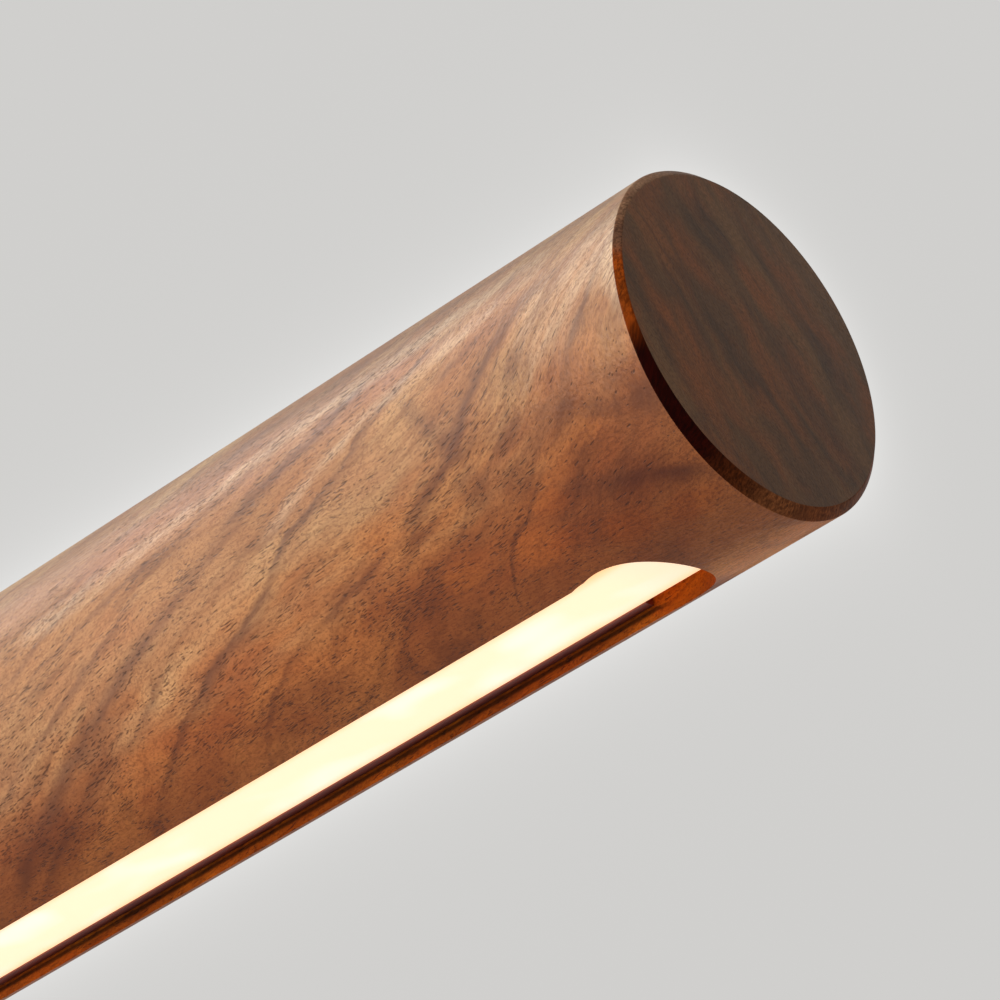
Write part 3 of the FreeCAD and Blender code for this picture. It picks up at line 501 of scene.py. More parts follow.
head_brass = turned_brass("head_brass", rough=0.3)
shape = turned([(0, HEAD_FOOT), (HEAD_R, HEAD_FOOT), (HEAD_R, HEAD_TOP), (0, HEAD_TOP)])
shape = cut(soften(shape, 0.9, 4), [
    block((-HEAD_R - 1, -20, HEAD_FLAT_FOOT), (HEAD_R + 1, -HEAD_FLAT, HEAD_TOP + 1)),
    block((-HEAD_R - 1, HEAD_FLAT, HEAD_FLAT_FOOT), (HEAD_R + 1, 20, HEAD_TOP + 1)),
    rod(BUSH_R, -20, 20, ALONG_Y, (0, 0, PIVOT_HEIGHT)),
    rod(STEM_R, HEAD_FOOT - 1, STEM_HEAD),
    rod(SET_SCREW_R, 0, 20, ALONG_Y, (0, 0, HEAD_FOOT + 6), 48),
])
head = piece("head_of_stem", shape, "stem", [head_brass], ["head_block"])
break_edges(head, 0.25, 40)

for side, name, node in ((-1, "bush_in_front", "front_bush"), (1, "bush_behind", "rear_bush")):
    face = side * (HEAD_FLAT + FLANGE)
    seat, inner_end = face - side * FLANGE, face - side * 7.8
    shape = turned([(4.05, face), (7, face), (7, seat), (BUSH_R, seat), (BUSH_R, inner_end),
                    (4.05, inner_end)], ALONG_Y)
    piece(name, soften(shape, 0.12), "stem", [ivory_plastic], [node],
          AT_ORIGIN @ Matrix.Translation((0, 0, PIVOT_HEIGHT)))
refinish(head_screw=fastener_steel)

# ---- Magnet mount --------------------------------------------------
# A turned brass cup with a plated magnet glued in its face, on a steel spindle through the
# head. A dished spring washer and a fluted brass knob behind set how stiffly it turns.

KEEPER_FACE, CUP_BACK, NECK_BACK = 11.0, 21.0, 22.0
KNOB_R, KNOB_FRONT, KNOB_BACK, KNOB_SOCKET, KNOB_FLUTES = 9, 47.0, 56.0, 53.0, 12
ON_BAR = AT_ORIGIN @ Matrix.Translation((0, BAR_AXIS_Y, PIVOT_HEIGHT)) @ Matrix.Rotation(-BAR_TILT, 4, "Y")

pivot_brass = turned_brass("pivot_brass", tuple(PIVOT), (math.radians(-90), 0, 0))
shape = turned([(3, 15.2), (9.1, 15.2), (9.1, KEEPER_FACE), (11.8, KEEPER_FACE), (11.8, CUP_BACK),
                (7, CUP_BACK), (7, NECK_BACK), (3, NECK_BACK)], ALONG_Y)
piece("pivot_cup", soften(shape, 0.45), "magnet_mount", [pivot_brass], ["magnet_cup"], ON_BAR)

shape = turned([(3, KNOB_FRONT), (KNOB_R, KNOB_FRONT), (KNOB_R, KNOB_BACK), (0, KNOB_BACK),
                (0, KNOB_SOCKET), (3, KNOB_SOCKET)], ALONG_Y, 192)
flute_angles = [math.tau * i / KNOB_FLUTES + math.pi / 2 for i in range(KNOB_FLUTES)]
shape = cut(soften(shape, 0.7, 4), [
    rod(1.1, 40, 60, ALONG_Y, (KNOB_R * math.cos(angle), 0, KNOB_R * math.sin(angle)), 32)
    for angle in flute_angles])
knob = piece("fluted_knob", shape, "magnet_mount", [pivot_brass], ["tension_knob"], ON_BAR)
break_edges(knob, 0.15, 35)

magnet_nickel = ground_metal("magnet_nickel", paint(205, 203, 198), 0.16, (2, 2, 2), 0.0008)
refinish(magnet=magnet_nickel, tilt_spindle=fastener_steel, spring_washer=fastener_steel)

# ---- Light bar: the walnut bar -------------------------------------
# A bar turned from one piece of figured walnut, with a slot milled in its underside that ends
# in wider round bores. The figure is feathered near the free end, where the rim is chamfered
# by hand and so isn't quite even.

BAR_R = 17.5
FREE_END, CAP_FACE, CAP_SEAM = 226.0, -214.0, -208.0
BAR_CHAMFER = 0.8
SLOT_FLOOR, SLOT_HALF, SLOT_BORE_R = 7.0, 6.05, 6.5
FREE_BORE_AT, CAP_BORE_AT = 208.0, -186.0
BAR_TURN = (0, -BAR_TILT, 0)


def in_bar(finish):
    """Coordinates in mm from the pivot, with X along the bar and Z up across it."""
    return in_piece(finish, tuple(PIVOT), BAR_TURN)


def bar_figure(finish):
    """Coordinates for the bar's grain: the fibre's own, and the growth rings', both in mm."""
    here = wander(finish, in_bar(finish), (42, 20, 20), (8, 5, 5))
    x, y, z = split(finish, wander(finish, here, (9, 5, 5), (1.5, 1.2, 1.2)))
    near_end = calc(finish, "MAXIMUM", minus(finish, 30.0, minus(finish, FREE_END, x)), 0.0)
    sweep = times(finish, calc(finish, "POWER", near_end, 1.5), fade(finish, z, -18.0, 7.0, 0.0, 0.075))
    height = minus(finish, minus(finish, z, times(finish, x, 0.10)), sweep)
    climb = times(finish, calc(finish, "SMOOTH_MAX", x, 70.0, 60.0), 0.26)
    return join(finish, x, y, height), join(finish, minus(finish, height, climb), y, x)


def round_bar(finish):
    """Two distances on the bar's outside, in mm: from the free end, and up round it from the
    middle of its front."""
    x, y, z = split(finish, wander(finish, in_bar(finish), (3.0, 2.5, 2.5), (1.6, 1.3, 1.3)))
    angle = calc(finish, "ARCTAN2", z, times(finish, y, -1.0))
    return minus(finish, FREE_END, x), times(finish, angle, BAR_R)


def band(finish, value, rise, fall):
    """A share that fades in over one range of a value and out over another."""
    return times(finish, fade(finish, value, *rise), fade(finish, value, *fall))


def growth_line(finish, from_end, up, route, above, below):
    """One growth line that shows on the bar. route is (from the end, up) points in mm, and the
    line fades out over these widths above and below it."""
    reach, rise, run_out = 100.0, 60.0, 2.0
    curve = add_node(finish, "FloatCurve", {"Value": calc(finish, "DIVIDE", from_end, reach)})
    line = curve.mapping.curves[0]
    points = [(place / reach, height / rise + 0.5) for place, height in route]
    line.points[0].location, line.points[1].location = points[0], points[-1]
    for place, height in points[1:-1]:
        line.points.new(place, height)
    curve.mapping.update()
    middle = times(finish, minus(finish, curve.outputs[0], 0.5), rise)
    mark = band(finish, minus(finish, up, middle), (above, 0.0), (-below, 0.0))
    start, end = route[0][0], route[-1][0]
    mark = times(finish, mark, fade(finish, from_end, start - run_out, start + run_out))
    return times(finish, mark, fade(finish, from_end, end + run_out, end - run_out))


def patch(finish, first, second, centre, reach):
    """A soft-edged patch round a centre, in two distances over a surface."""
    far = squares(finish, calc(finish, "DIVIDE", minus(finish, first, centre[0]), reach[0]),
                  calc(finish, "DIVIDE", minus(finish, second, centre[1]), reach[1]))
    return fade(finish, far, 1.6, 0.1)


bar_walnut, bar_shader = new_finish("bar_walnut", Specular_IOR_Level=0.35)
bar_fibre, bar_rings = bar_figure(bar_walnut)
from_end, up = round_bar(bar_walnut)
# The pale tone serves both the pale growth lines and a painted sheen near the free end.
LINE_TONE, DEEP_TONE, PALE_AND_SHEEN_TONE = paint(98, 66, 54), paint(104, 52, 30), paint(222, 190, 154)
# Each line has its strength, its widths above and below, and its route.
dark_lines = (
    (0.72, 1.7, 1.5, ((31, 9), (40, 5), (49, 1.8), (60, -3), (72, -8), (82.7, -13), (93, -19))),
    (0.75, 0.6, 1.6, ((21, 8), (29.3, 4.2), (37.4, -0.5), (43.8, -3), (47.4, -5.8), (60.4, -11.1),
                      (75.4, -20.5))),
    (0.50, 0.5, 1.2, ((62.7, 0.6), (67.9, -1.9), (74.1, -4.7), (81, -7.5), (87, -10.3))),
    (0.60, 0.6, 1.5, ((63.2, -7.8), (68.5, -10.9), (76.6, -13), (83.5, -16.1), (90.4, -20))),
    (0.60, 0.4, 1.0, ((32, -8.6), (44.3, -11.4), (50.4, -13.3), (57.1, -17.8), (59.3, -20.3))),
    (0.50, 0.9, 0.9, ((66, 6.2), (73.8, 3.1), (78.2, 0.9), (84, -0.8))),
    (0.45, 0.6, 0.8, ((60, 3.4), (71, 0.8), (77.3, -1.1), (83, -3.2))),
    (0.75, 1.9, 1.5, ((8, 7.2), (14.6, 3.4), (19.9, -1.4), (23.2, -4.4), (26.6, -6.0), (28.4, -6.7))),
    (0.45, 3.0, 3.0, ((20.6, -7.0), (24.3, -0.8), (27.6, 4.6))),
    (0.75, 0.3, 0.5, ((15.5, -10.2), (19.3, -12.8), (22.7, -14.7), (25.4, -18.6), (26.5, -20.8))),
    (0.75, 1.3, 1.0, ((1.2, 6.4), (4.9, 0.9), (7.4, -1.9))),
    (0.50, 1.0, 1.0, ((3, 9.6), (9, 6.6), (16, 5.0), (22, 2.8))),
    (0.45, 1.6, 1.6, ((0.5, 14.2), (20, 13.4), (36, 12.4), (52, 10.6))),
    (0.80, 1.5, 2.0, ((1.5, -17.4), (5, -15.6), (9, -14.0), (13.5, -12.4))),
    (0.50, 1.4, 1.8, ((0.5, -8.6), (3.5, -8.8), (9, -6.4), (13, -5.4))),
    (0.45, 1.2, 1.2, ((30, -12.2), (33, -13.4), (37, -14.0))),
)
pale_lines = (
    (0.55, 1.8, 1.8, ((10, 11.0), (26, 9.4), (45, 7.6), (66, 4.6), (78, 3.2))),
    (0.45, 1.3, 1.3, ((3.5, 4.6), (8, 1.4), (12.5, -2.6))),
    (0.50, 1.6, 1.2, ((10, 8.8), (20, 6.2), (33, 3.4), (45, -1.6))),
)
# Each patch has its strength, its centre and its reach.
deep_patches = (
    (0.45, (7.1, -15.5), (4.2, 2.6)), (0.45, (35, -13.5), (6.0, 3.0)), (0.40, (17.8, -9.3), (2.2, 1.8)),
    (0.45, (26.5, -12.0), (2.6, 2.0)), (0.40, (52, -17.0), (7.0, 2.6)), (0.40, (86, -15.0), (6.0, 3.5)))
smoky_patches = (
    (0.50, (22.4, -8.0), (1.8, 2.2)), (0.45, (21.2, -3.6), (2.2, 1.8)), (0.45, (16.3, -5.0), (2.4, 1.8)),
    (0.50, (1.8, -9.2), (1.6, 2.4)), (0.35, (13.0, -1.0), (2.0, 2.4)), (0.35, (29.0, -8.6), (2.0, 1.6)))
# Pale patches near the free end: the first and the last are a painted sheen by the rim.
pale_and_sheen_patches = (
    (0.55, (2.0, 6.0), (5.0, 4.0)), (0.35, (9.0, 3.0), (4.0, 5.0)), (0.60, (0.4, 4.0), (1.6, 6.0)))
bar_marks = [(growth_line(bar_walnut, from_end, up, route, above, below), strength, tone)
             for tone, lines in ((LINE_TONE, dark_lines), (PALE_AND_SHEEN_TONE, pale_lines))
             for strength, above, below, route in lines]
bar_marks += [(patch(bar_walnut, from_end, up, centre, reach), strength, tone)
              for tone, patches in ((DEEP_TONE, deep_patches), (LINE_TONE, smoky_patches),
                                    (PALE_AND_SHEEN_TONE, pale_and_sheen_patches))
              for strength, centre, reach in patches]
pore_share = times(bar_walnut, fade(bar_walnut, from_end, 8.0, 26.0, 0.10, 0.85),
                   fade(bar_walnut, up, 10.0, 1.0, 0.45, 1.0))
BAR_TONES = (paint(198, 152, 104), paint(172, 122, 80), paint(168, 106, 66), paint(110, 68, 44),
             paint(94, 64, 50))
grain = walnut_grain(bar_walnut, bar_shader, bar_fibre, bar_rings, BAR_TONES, pore_share, 0.5, 0.35,
                     marks=bar_marks, curl=fade(bar_walnut, from_end, 24.0, 9.0, 0.8, 3.0))
zone_edge = calc(bar_walnut, "MULTIPLY_ADD", noise(bar_walnut, bar_fibre, (20, 4.5, 4.5), 3.0, 0.6),
                 14.0, -7.0)
zone_edge = plus(bar_walnut, zone_edge, fade(bar_walnut, from_end, 11.0, 2.0, 0.0, 3.5))
bottom_tint_depth = plus(bar_walnut, calc(bar_walnut, "MULTIPLY_ADD", from_end, 0.11, up), zone_edge)
zone_height = plus(bar_walnut, up, zone_edge)
far_along = times(bar_walnut, fade(bar_walnut, from_end, 38.0, 64.0), fade(bar_walnut, up, 4.5, 0.0))
# Darker and redder towards the bottom, and darker low down near the end; painted shade towards the top; paler
# further along; and a painted reflection under the free end, past the slot.
shades = [
    (fade(bar_walnut, bottom_tint_depth, 3.0, -9.0), (1.0, 0.70, 0.46)),
    (fade(bar_walnut, zone_height, -6.0, -15.0), (0.92, 0.75, 0.60)),
    (times(bar_walnut, fade(bar_walnut, from_end, 26.0, 4.0), fade(bar_walnut, zone_height, 0.0, -12.0)),
     (0.72, 0.66, 0.62)),
    # Painted shade: the top of the bar darker, a little more near the end.
    (fade(bar_walnut, up, 6.5, 11.5), (0.77, 0.82, 0.82)),
    (times(bar_walnut, fade(bar_walnut, up, 6.0, 10.0), fade(bar_walnut, from_end, 56.0, 34.0)),
     (0.88, 0.87, 0.84)),
    (times(bar_walnut, far_along, fade(bar_walnut, up, -20.0, -8.0)), (1.20, 1.24, 1.30)),
    # Painted reflection: a pale grey patch under the free end, past the slot.
    (times(bar_walnut, fade(bar_walnut, from_end, 15.0, 11.0),
           band(bar_walnut, up, (-25.5, -32.5), (-46.0, -37.0))), (2.3, 3.0, 3.2)),
]
flecks = (
    ((13.8, -10.2), (2.6, 1.7), (1.26, 1.24, 1.12)), ((19.6, -15.6), (3.4, 2.2), (1.32, 1.26, 1.02)),
    ((16.3, -12.6), (2.0, 1.4), (1.20, 1.14, 0.94)), ((9.8, -8.8), (2.4, 1.2), (1.24, 1.24, 1.14)),
    ((3.0, -3.0), (3.4, 2.6), (1.24, 1.28, 1.22)), ((11.7, -18.2), (3.0, 1.8), (1.05, 0.94, 0.72)),
    ((5.5, -19.6), (3.6, 1.6), (1.00, 0.88, 0.70)), ((28.6, -14.2), (2.4, 1.4), (1.16, 1.16, 1.00)))
shades += [(patch(bar_walnut, from_end, up, centre, reach), tint) for centre, reach, tint in flecks]
for share, tint in shades:
    grain = blend_colours(bar_walnut, share, grain, (*tint, 1), "MULTIPLY")
connect(bar_walnut, grain, bar_shader, "Base Color")
past_slot = band(bar_walnut, up, (-32.0, -33.6), (-44.0, -39.0))
connect(bar_walnut, fade(bar_walnut, past_slot, 0.0, 1.0, 0.35, 0.10), bar_shader, "Specular IOR Level")


def dot(finish, vector, direction):
    """How far a vector reaches along a direction."""
    return add_node(finish, "VectorMath", {0: vector, 1: direction}, operation="DOT_PRODUCT").outputs["Value"]


end_walnut, end_shader = new_finish("end_grain_walnut", Specular_IOR_Level=0.25)
end_place = wander(end_walnut, in_bar(end_walnut), (12, 12, 12), (0, 5, 5))
across_rings = dot(end_walnut, end_place, (0, 0.867, 0.497))
along_rings = dot(end_walnut, end_place, (0, 0.497, -0.867))
depth_in_bar = dot(end_walnut, end_place, (1, 0, 0))
end_rings = join(end_walnut, across_rings, depth_in_bar, along_rings)
end_fibre = join(end_walnut, depth_in_bar, times(end_walnut, across_rings, 1.8),
                 times(end_walnut, along_rings, 0.6))
WARM_STREAK, DARK_STREAK = paint(158, 86, 38), paint(54, 42, 30)
streaks = (
    (0.75, WARM_STREAK, (-3.0, -11.0), (6.5, 2.2)), (0.60, WARM_STREAK, (-4.0, 4.6), (3.6, 1.5)),
    (0.50, WARM_STREAK, (4.5, -0.4), (7.5, 1.3)), (0.40, WARM_STREAK, (-9.0, -1.5), (3.5, 2.0)),
    (0.60, DARK_STREAK, (-4.0, -7.2), (5.5, 1.5)), (0.45, DARK_STREAK, (-10.0, 3.6), (4.0, 2.6)),
    (0.45, DARK_STREAK, (6.0, 3.4), (7.0, 1.4)))
end_marks = [(patch(end_walnut, along_rings, across_rings, centre, reach), strength, tone)
             for strength, tone, centre, reach in streaks]
END_TONES = (paint(128, 88, 52), paint(104, 70, 42), paint(146, 82, 40), paint(56, 40, 26),
             paint(50, 36, 25))
walnut_grain(end_walnut, end_shader, end_fibre, end_rings, END_TONES, 0.12, 0.65, 0.5, 0.5, end_marks, 0.8)

chamfer_walnut, chamfer_shader = new_finish("chamfer_walnut", Specular_IOR_Level=0.03)
rim_fibre, rim_rings = bar_figure(chamfer_walnut)
RIM_TONES = (paint(140, 92, 62), paint(118, 74, 50), paint(126, 70, 40), paint(70, 40, 28),
             paint(52, 30, 22))
cut_fibres = walnut_grain(chamfer_walnut, chamfer_shader, rim_fibre, rim_rings, RIM_TONES, 0.1, 0.5,
                          0.3, 0.42)
rim_up = round_bar(chamfer_walnut)[1]
# Painted light and shade round the chamfer, from the top down: greyer at the top, an orange-lit stretch, a
# near-black shaded stretch, then browner stretches towards the bottom. A stretch starts at a height and fades
# in over a distance.
painted_rim_light_and_shade = (1.0, 1.35, 1.65, 1)
for top, fade_over, tone in ((5.0, 1.2, (1.50, 0.78, 0.16, 1)), (-3.4, 2.2, (0.11, 0.02, 0.01, 1)),
                             (-17.6, 2.4, (0.36, 0.20, 0.10, 1)), (-23.0, 3.2, (1.15, 0.92, 0.66, 1))):
    below_top = fade(chamfer_walnut, rim_up, top + fade_over, top - fade_over)
    painted_rim_light_and_shade = blend_colours(chamfer_walnut, below_top, painted_rim_light_and_shade, tone)
cut_fibres = blend_colours(chamfer_walnut, 1.0, cut_fibres, painted_rim_light_and_shade, "MULTIPLY")
fibre_ends = noise(chamfer_walnut, rim_fibre, (4, 0.24, 0.24), 2.0, 0.7)
fibre_ends = fade(chamfer_walnut, fibre_ends, 0.35, 0.65, 0.65, 1.3)
connect(chamfer_walnut, vector_calc(chamfer_walnut, "MULTIPLY", cut_fibres, fibre_ends), chamfer_shader,
        "Base Color")

milled_walnut, milled_shader = new_finish("milled_walnut", Specular_IOR_Level=0.12)
MILLED_TONES = (paint(190, 95, 12), paint(159, 73, 8), paint(178, 67, 5), paint(99, 40, 5),
                paint(79, 31, 5))
milled = walnut_grain(milled_walnut, milled_shader, *bar_figure(milled_walnut), MILLED_TONES, 0.4, 0.6,
                      0.5, 0.6)
wall_x, _, wall_z = split(milled_walnut, in_bar(milled_walnut))
# Beside the channel the wall is paler, with a painted shadow in a thin band along the channel's rim.
beside_channel = fade(milled_walnut, wall_x, FREE_BORE_AT - 1.0, FREE_BORE_AT - 4.0)
milled = blend_colours(milled_walnut, beside_channel, milled, (1.12, 1.24, 2.4, 1), "MULTIPLY")
painted_gap_shadow = times(milled_walnut, beside_channel,
                 band(milled_walnut, wall_z, (-15.15, -15.32), (-15.80, -15.50)))
milled = blend_colours(milled_walnut, painted_gap_shadow, milled, (0.26, 0.28, 0.32, 1), "MULTIPLY")
connect(milled_walnut, milled, milled_shader, "Base Color")


def chamfered(shape, end):
    """Chamfers the rim at one end of a round form that lies along X."""
    rim = [edge for edge in shape.edges if edge.calc_face_angle(0) > 1 and abs(edge.verts[0].co.x - end) < 1]
    bmesh.ops.bevel(shape, geom=rim, offset=BAR_CHAMFER, offset_type="OFFSET", affect="EDGES", segments=1,
                    profile=0.5, material=-1)
    return shape


# Each stretch that is chamfered more or less: by how many mm, and its middle and reach in
# degrees up from the front.
RIM_EASING = ((0.24, -65, 50), (-0.23, 5, 25), (-0.30, 36, 16))
RING_BORE_R, RING_SEAT, BOARD_BORE_R, BOARD_SEAT = 13.6, -201.8, 12.0, -198.0
CELL_BORE_R, CELL_BORE_START, CELL_BORE_END, CELL_HEIGHT = 10.0, -199.0, -20.0, 4.6
KEEPER_BORE_R, KEEPER_SEAT = 12.2, 8.5
OUT_OF_BAR = 30

shape = turned([(0, CAP_SEAM), (BAR_R, CAP_SEAM), (BAR_R, FREE_END), (0, FREE_END)], ALONG_X, 256)
shape = chamfered(shape, FREE_END)
for vert in shape.verts:
    if vert.co.x < FREE_END - BAR_CHAMFER - 0.1 or vert.co.yz.length < 1:
        continue
    angle = math.degrees(math.atan2(vert.co.z, -vert.co.y))
    eased = sum(by * math.exp(-((angle - middle) / reach) ** 2) for by, middle, reach in RIM_EASING)
    if vert.co.x > FREE_END - 0.1:
        vert.co.yz *= 1 - eased / BAR_R
    else:
        vert.co.x -= eased
shape = cut(soften(shape, 0.14), [
    block((CAP_BORE_AT, -SLOT_HALF, -OUT_OF_BAR), (FREE_BORE_AT, SLOT_HALF, -SLOT_FLOOR)),
    rod(SLOT_BORE_R, -OUT_OF_BAR, -SLOT_FLOOR, at=(CAP_BORE_AT, 0, 0), steps=128),
    rod(SLOT_BORE_R, -OUT_OF_BAR, -SLOT_FLOOR, at=(FREE_BORE_AT, 0, 0), steps=128),
    # This one eases the corner where the slot meets its round end.
    rod(SLOT_BORE_R - 0.23, -OUT_OF_BAR, -SLOT_FLOOR, at=(FREE_BORE_AT - 1.7, 0, 0), steps=128),
    rod(RING_BORE_R, CAP_SEAM - 1, RING_SEAT, ALONG_X),
    rod(BOARD_BORE_R, CAP_SEAM - 1, BOARD_SEAT, ALONG_X),
    rod(CELL_BORE_R, CELL_BORE_START, CELL_BORE_END, ALONG_X, (0, 0, CELL_HEIGHT)),
    rod(KEEPER_BORE_R, KEEPER_SEAT, OUT_OF_BAR, ALONG_Y, steps=128),
])
OUTSIDE, END_FACE, MILLED, CHAMFER = range(4)
for face in shape.faces:
    centre = face.calc_center_median()
    if face.normal.x > 0.95 and centre.x > FREE_END - 0.2:
        face.material_index = END_FACE
    elif centre.x > FREE_END - 1.2 and face.normal.x > 0.3:
        face.material_index = CHAMFER
    elif centre.yz.length < BAR_R - 0.3 and centre.x < FREE_END - 1:
        face.material_index = MILLED
    elif abs(face.normal.x) > 0.9 and centre.x < 0:
        face.material_index = MILLED
    else:
        face.material_index = OUTSIDE
piece("walnut_bar", shape, "light_bar", [bar_walnut, end_walnut, milled_walnut, chamfer_walnut],
      ["bar_body"], ON_BAR)
refinish(keeper_plate=sawn_steel, keeper_screws=fastener_steel)

# ---- Light bar: channel, light strip and diffuser ------------------
# An extruded aluminium channel, dark bronze anodised and screwed into the slot, holds the board
# with its light chips. A milky strip snaps into its mouth, flush with the rim, and runs on into
# the slot's round ends.

CHANNEL_END_TO_BORE, CHANNEL_RIM, CHANNEL_FLOOR = 3.4, 15.2, 8.2
CHANNEL_HALF, CHANNEL_MOUTH_HALF, CHANNEL_INSIDE_HALF = 5.7, 4.6, 4.2
DIFFUSER_FACE, DIFFUSER_BACK, DIFFUSER_HALF, DIFFUSER_END_R = 15.1, 13.1, 4.55, 6.4


def pulled(shape, faces, by):
    """A flat outline pulled out into a solid form."""
    drawn = bmesh.ops.extrude_face_region(shape, geom=faces)["geom"]
    moved = [part for part in drawn if isinstance(part, bmesh.types.BMVert)]
    bmesh.ops.translate(shape, vec=by, verts=moved)
    bmesh.ops.recalc_face_normals(shape, faces=shape.faces)
    return shape


bronze = ground_metal("bronze_anodised", paint(150, 98, 92), 0.45, (30, 0.12, 0.12), 0.001)
wall = [(CHANNEL_HALF, -SLOT_FLOOR), (CHANNEL_HALF, -CHANNEL_RIM), (CHANNEL_MOUTH_HALF, -CHANNEL_RIM),
        (CHANNEL_MOUTH_HALF, -DIFFUSER_BACK), (CHANNEL_INSIDE_HALF, -DIFFUSER_BACK),
        (CHANNEL_INSIDE_HALF, -CHANNEL_FLOOR)]
channel_start, channel_end = CAP_BORE_AT + CHANNEL_END_TO_BORE, FREE_BORE_AT - CHANNEL_END_TO_BORE
shape = bmesh.new()
section = [shape.verts.new((channel_start, y, z)) for y, z in wall + [(-y, z) for y, z in reversed(wall)]]
shape = pulled(shape, [shape.faces.new(section)], (channel_end - channel_start, 0, 0))
piece("bronze_channel", soften(shape, 0.05, 2), "light_bar", [bronze],
      ["light_channel"], ON_BAR)

board_white, board_shader = new_finish("board_white", Base_Color=paint(226, 226, 220))
connect(board_white, noise(board_white, in_piece(board_white), (1, 1, 1)), board_shader, "Roughness")
chip_phosphor, chip_shader = new_finish("chip_phosphor", Roughness=0.3, Emission_Strength=3.0,
                                        Emission_Color=(1.0, 0.55, 0.22, 1))
chip_dots = noise(chip_phosphor, in_piece(chip_phosphor), (0.2, 0.2, 0.2))
connect(chip_phosphor, blend_colours(chip_phosphor, chip_dots, paint(240, 205, 110), paint(226, 180, 80)),
        chip_shader, "Base Color")
refinish(channel_screws=fastener_steel, led_board=board_white, led_chips=chip_phosphor)

milky, milky_shader = new_finish("milky_diffuser", Roughness=0.5, Emission_Strength=1.0)
strip_place = in_bar(milky)
strip_x, strip_y, _ = split(milky, strip_place)
core = band(milky, strip_y, (-4.6, -2.6), (5.4, 3.0))
unevenness = noise(milky, strip_place, (9, 6, 6), 1.0)
strip_glow = blend_colours(milky, fade(milky, unevenness, 0.46, 0.72), (1.0, 0.73, 0.45, 1),
                           (1.05, 0.80, 0.64, 1))
past_channel = fade(milky, strip_x, channel_end - 1, FREE_BORE_AT + 5)
strip_glow = blend_colours(milky, past_channel, strip_glow, (0.95, 0.64, 0.42, 1))
strip_glow = blend_colours(milky, core, (1.0, 0.50, 0.16, 1), strip_glow)
connect(milky, strip_glow, milky_shader, "Emission Color")
connect(milky, blend_colours(milky, unevenness, paint(204, 198, 186), paint(198, 192, 178)), milky_shader,
        "Base Color")

shape = bmesh.new()
corner_angle = math.asin(DIFFUSER_HALF / DIFFUSER_END_R)
for centre, way in ((FREE_BORE_AT, 0), (CAP_BORE_AT, math.pi)):
    corner = shape.verts.new((centre + DIFFUSER_END_R * math.cos(way - corner_angle),
                              DIFFUSER_END_R * math.sin(way - corner_angle), -DIFFUSER_BACK))
    bmesh.ops.spin(shape, geom=[corner], cent=(centre, 0, -DIFFUSER_BACK), axis=(0, 0, 1),
                   angle=2 * corner_angle, steps=24)
bmesh.ops.bridge_loops(shape, edges=shape.edges)
shape = pulled(shape, shape.faces[:], (0, 0, DIFFUSER_BACK - DIFFUSER_FACE))
piece("glowing_strip", soften(shape, 0.12, 2), "light_bar", [milky], ["diffuser"], ON_BAR)

# ---- Light bar: cell, tray and leads -------------------------------
# A rechargeable round cell in a half-round plastic tray inside the bar, and the leads to the
# board and the strip.

black_plastic = moulded("black_plastic", paint(40, 40, 41), 0.5)
cell_wrap = moulded("cell_wrap", paint(70, 105, 130), 0.3, 0.004)
lead_cover = moulded("lead_cover", paint(120, 40, 34), 0.45)
contact_nickel = ground_metal("contact_nickel", paint(205, 203, 196), 0.22, (1, 1, 1))
refinish(cell_tray=black_plastic, cell=cell_wrap, cell_contacts=contact_nickel, cell_leads=lead_cover,
         lamp_leads=lead_cover)

# ---- Light bar: switch end -----------------------------------------
# A walnut cap on a brass ring closes the lower end. It holds a dished brass push button over
# the switch on the round control board, and the oval mouth of the charging inlet.

BUTTON_RISE, BUTTON_HOLE_R, BUTTON_FACE = 3.0, 5.6, CAP_FACE - 1.4
INLET_DROP, INLET_SIDE, INLET_R = 7.2, 2.85, 1.75
RING_GROOVE = CAP_SEAM + 4.6

cap_walnut, cap_shader = new_finish("cap_walnut", Specular_IOR_Level=0.35)
cap_place = in_piece(cap_walnut, tuple(PIVOT + Vector((0, 0.04, 0.02))), BAR_TURN)
cap_rings = join(cap_walnut, *(dot(cap_walnut, cap_place, way)
                               for way in ((0.2, 0.6, 0.75), (0, 0.75, -0.6), (1, 0, 0))))
walnut_grain(cap_walnut, cap_shader, cap_place, cap_rings, WALNUT_TONES, 0.3, 0.4, 0.6, 0.45)

shape = turned([(0, CAP_FACE), (BAR_R, CAP_FACE), (BAR_R, CAP_SEAM), (11.9, CAP_SEAM), (11.9, RING_GROOVE),
                (10, RING_GROOVE), (10, CAP_SEAM), (0, CAP_SEAM)], ALONG_X, 256)
shape = soften(chamfered(shape, CAP_FACE), 0.14)
shape = cut(shape, [
    rod(BUTTON_HOLE_R, CAP_FACE - 1, CAP_SEAM + 1, ALONG_X, (0, 0, BUTTON_RISE)),
    block((CAP_FACE - 1, -INLET_SIDE, -INLET_DROP - INLET_R),
          (CAP_SEAM + 1, INLET_SIDE, -INLET_DROP + INLET_R)),
    rod(INLET_R, CAP_FACE - 1, CAP_SEAM + 1, ALONG_X, (0, -INLET_SIDE, -INLET_DROP), 48),
    rod(INLET_R, CAP_FACE - 1, CAP_SEAM + 1, ALONG_X, (0, INLET_SIDE, -INLET_DROP), 48),
])
piece("walnut_cap", shape, "light_bar", [cap_walnut], ["end_cap"], ON_BAR)

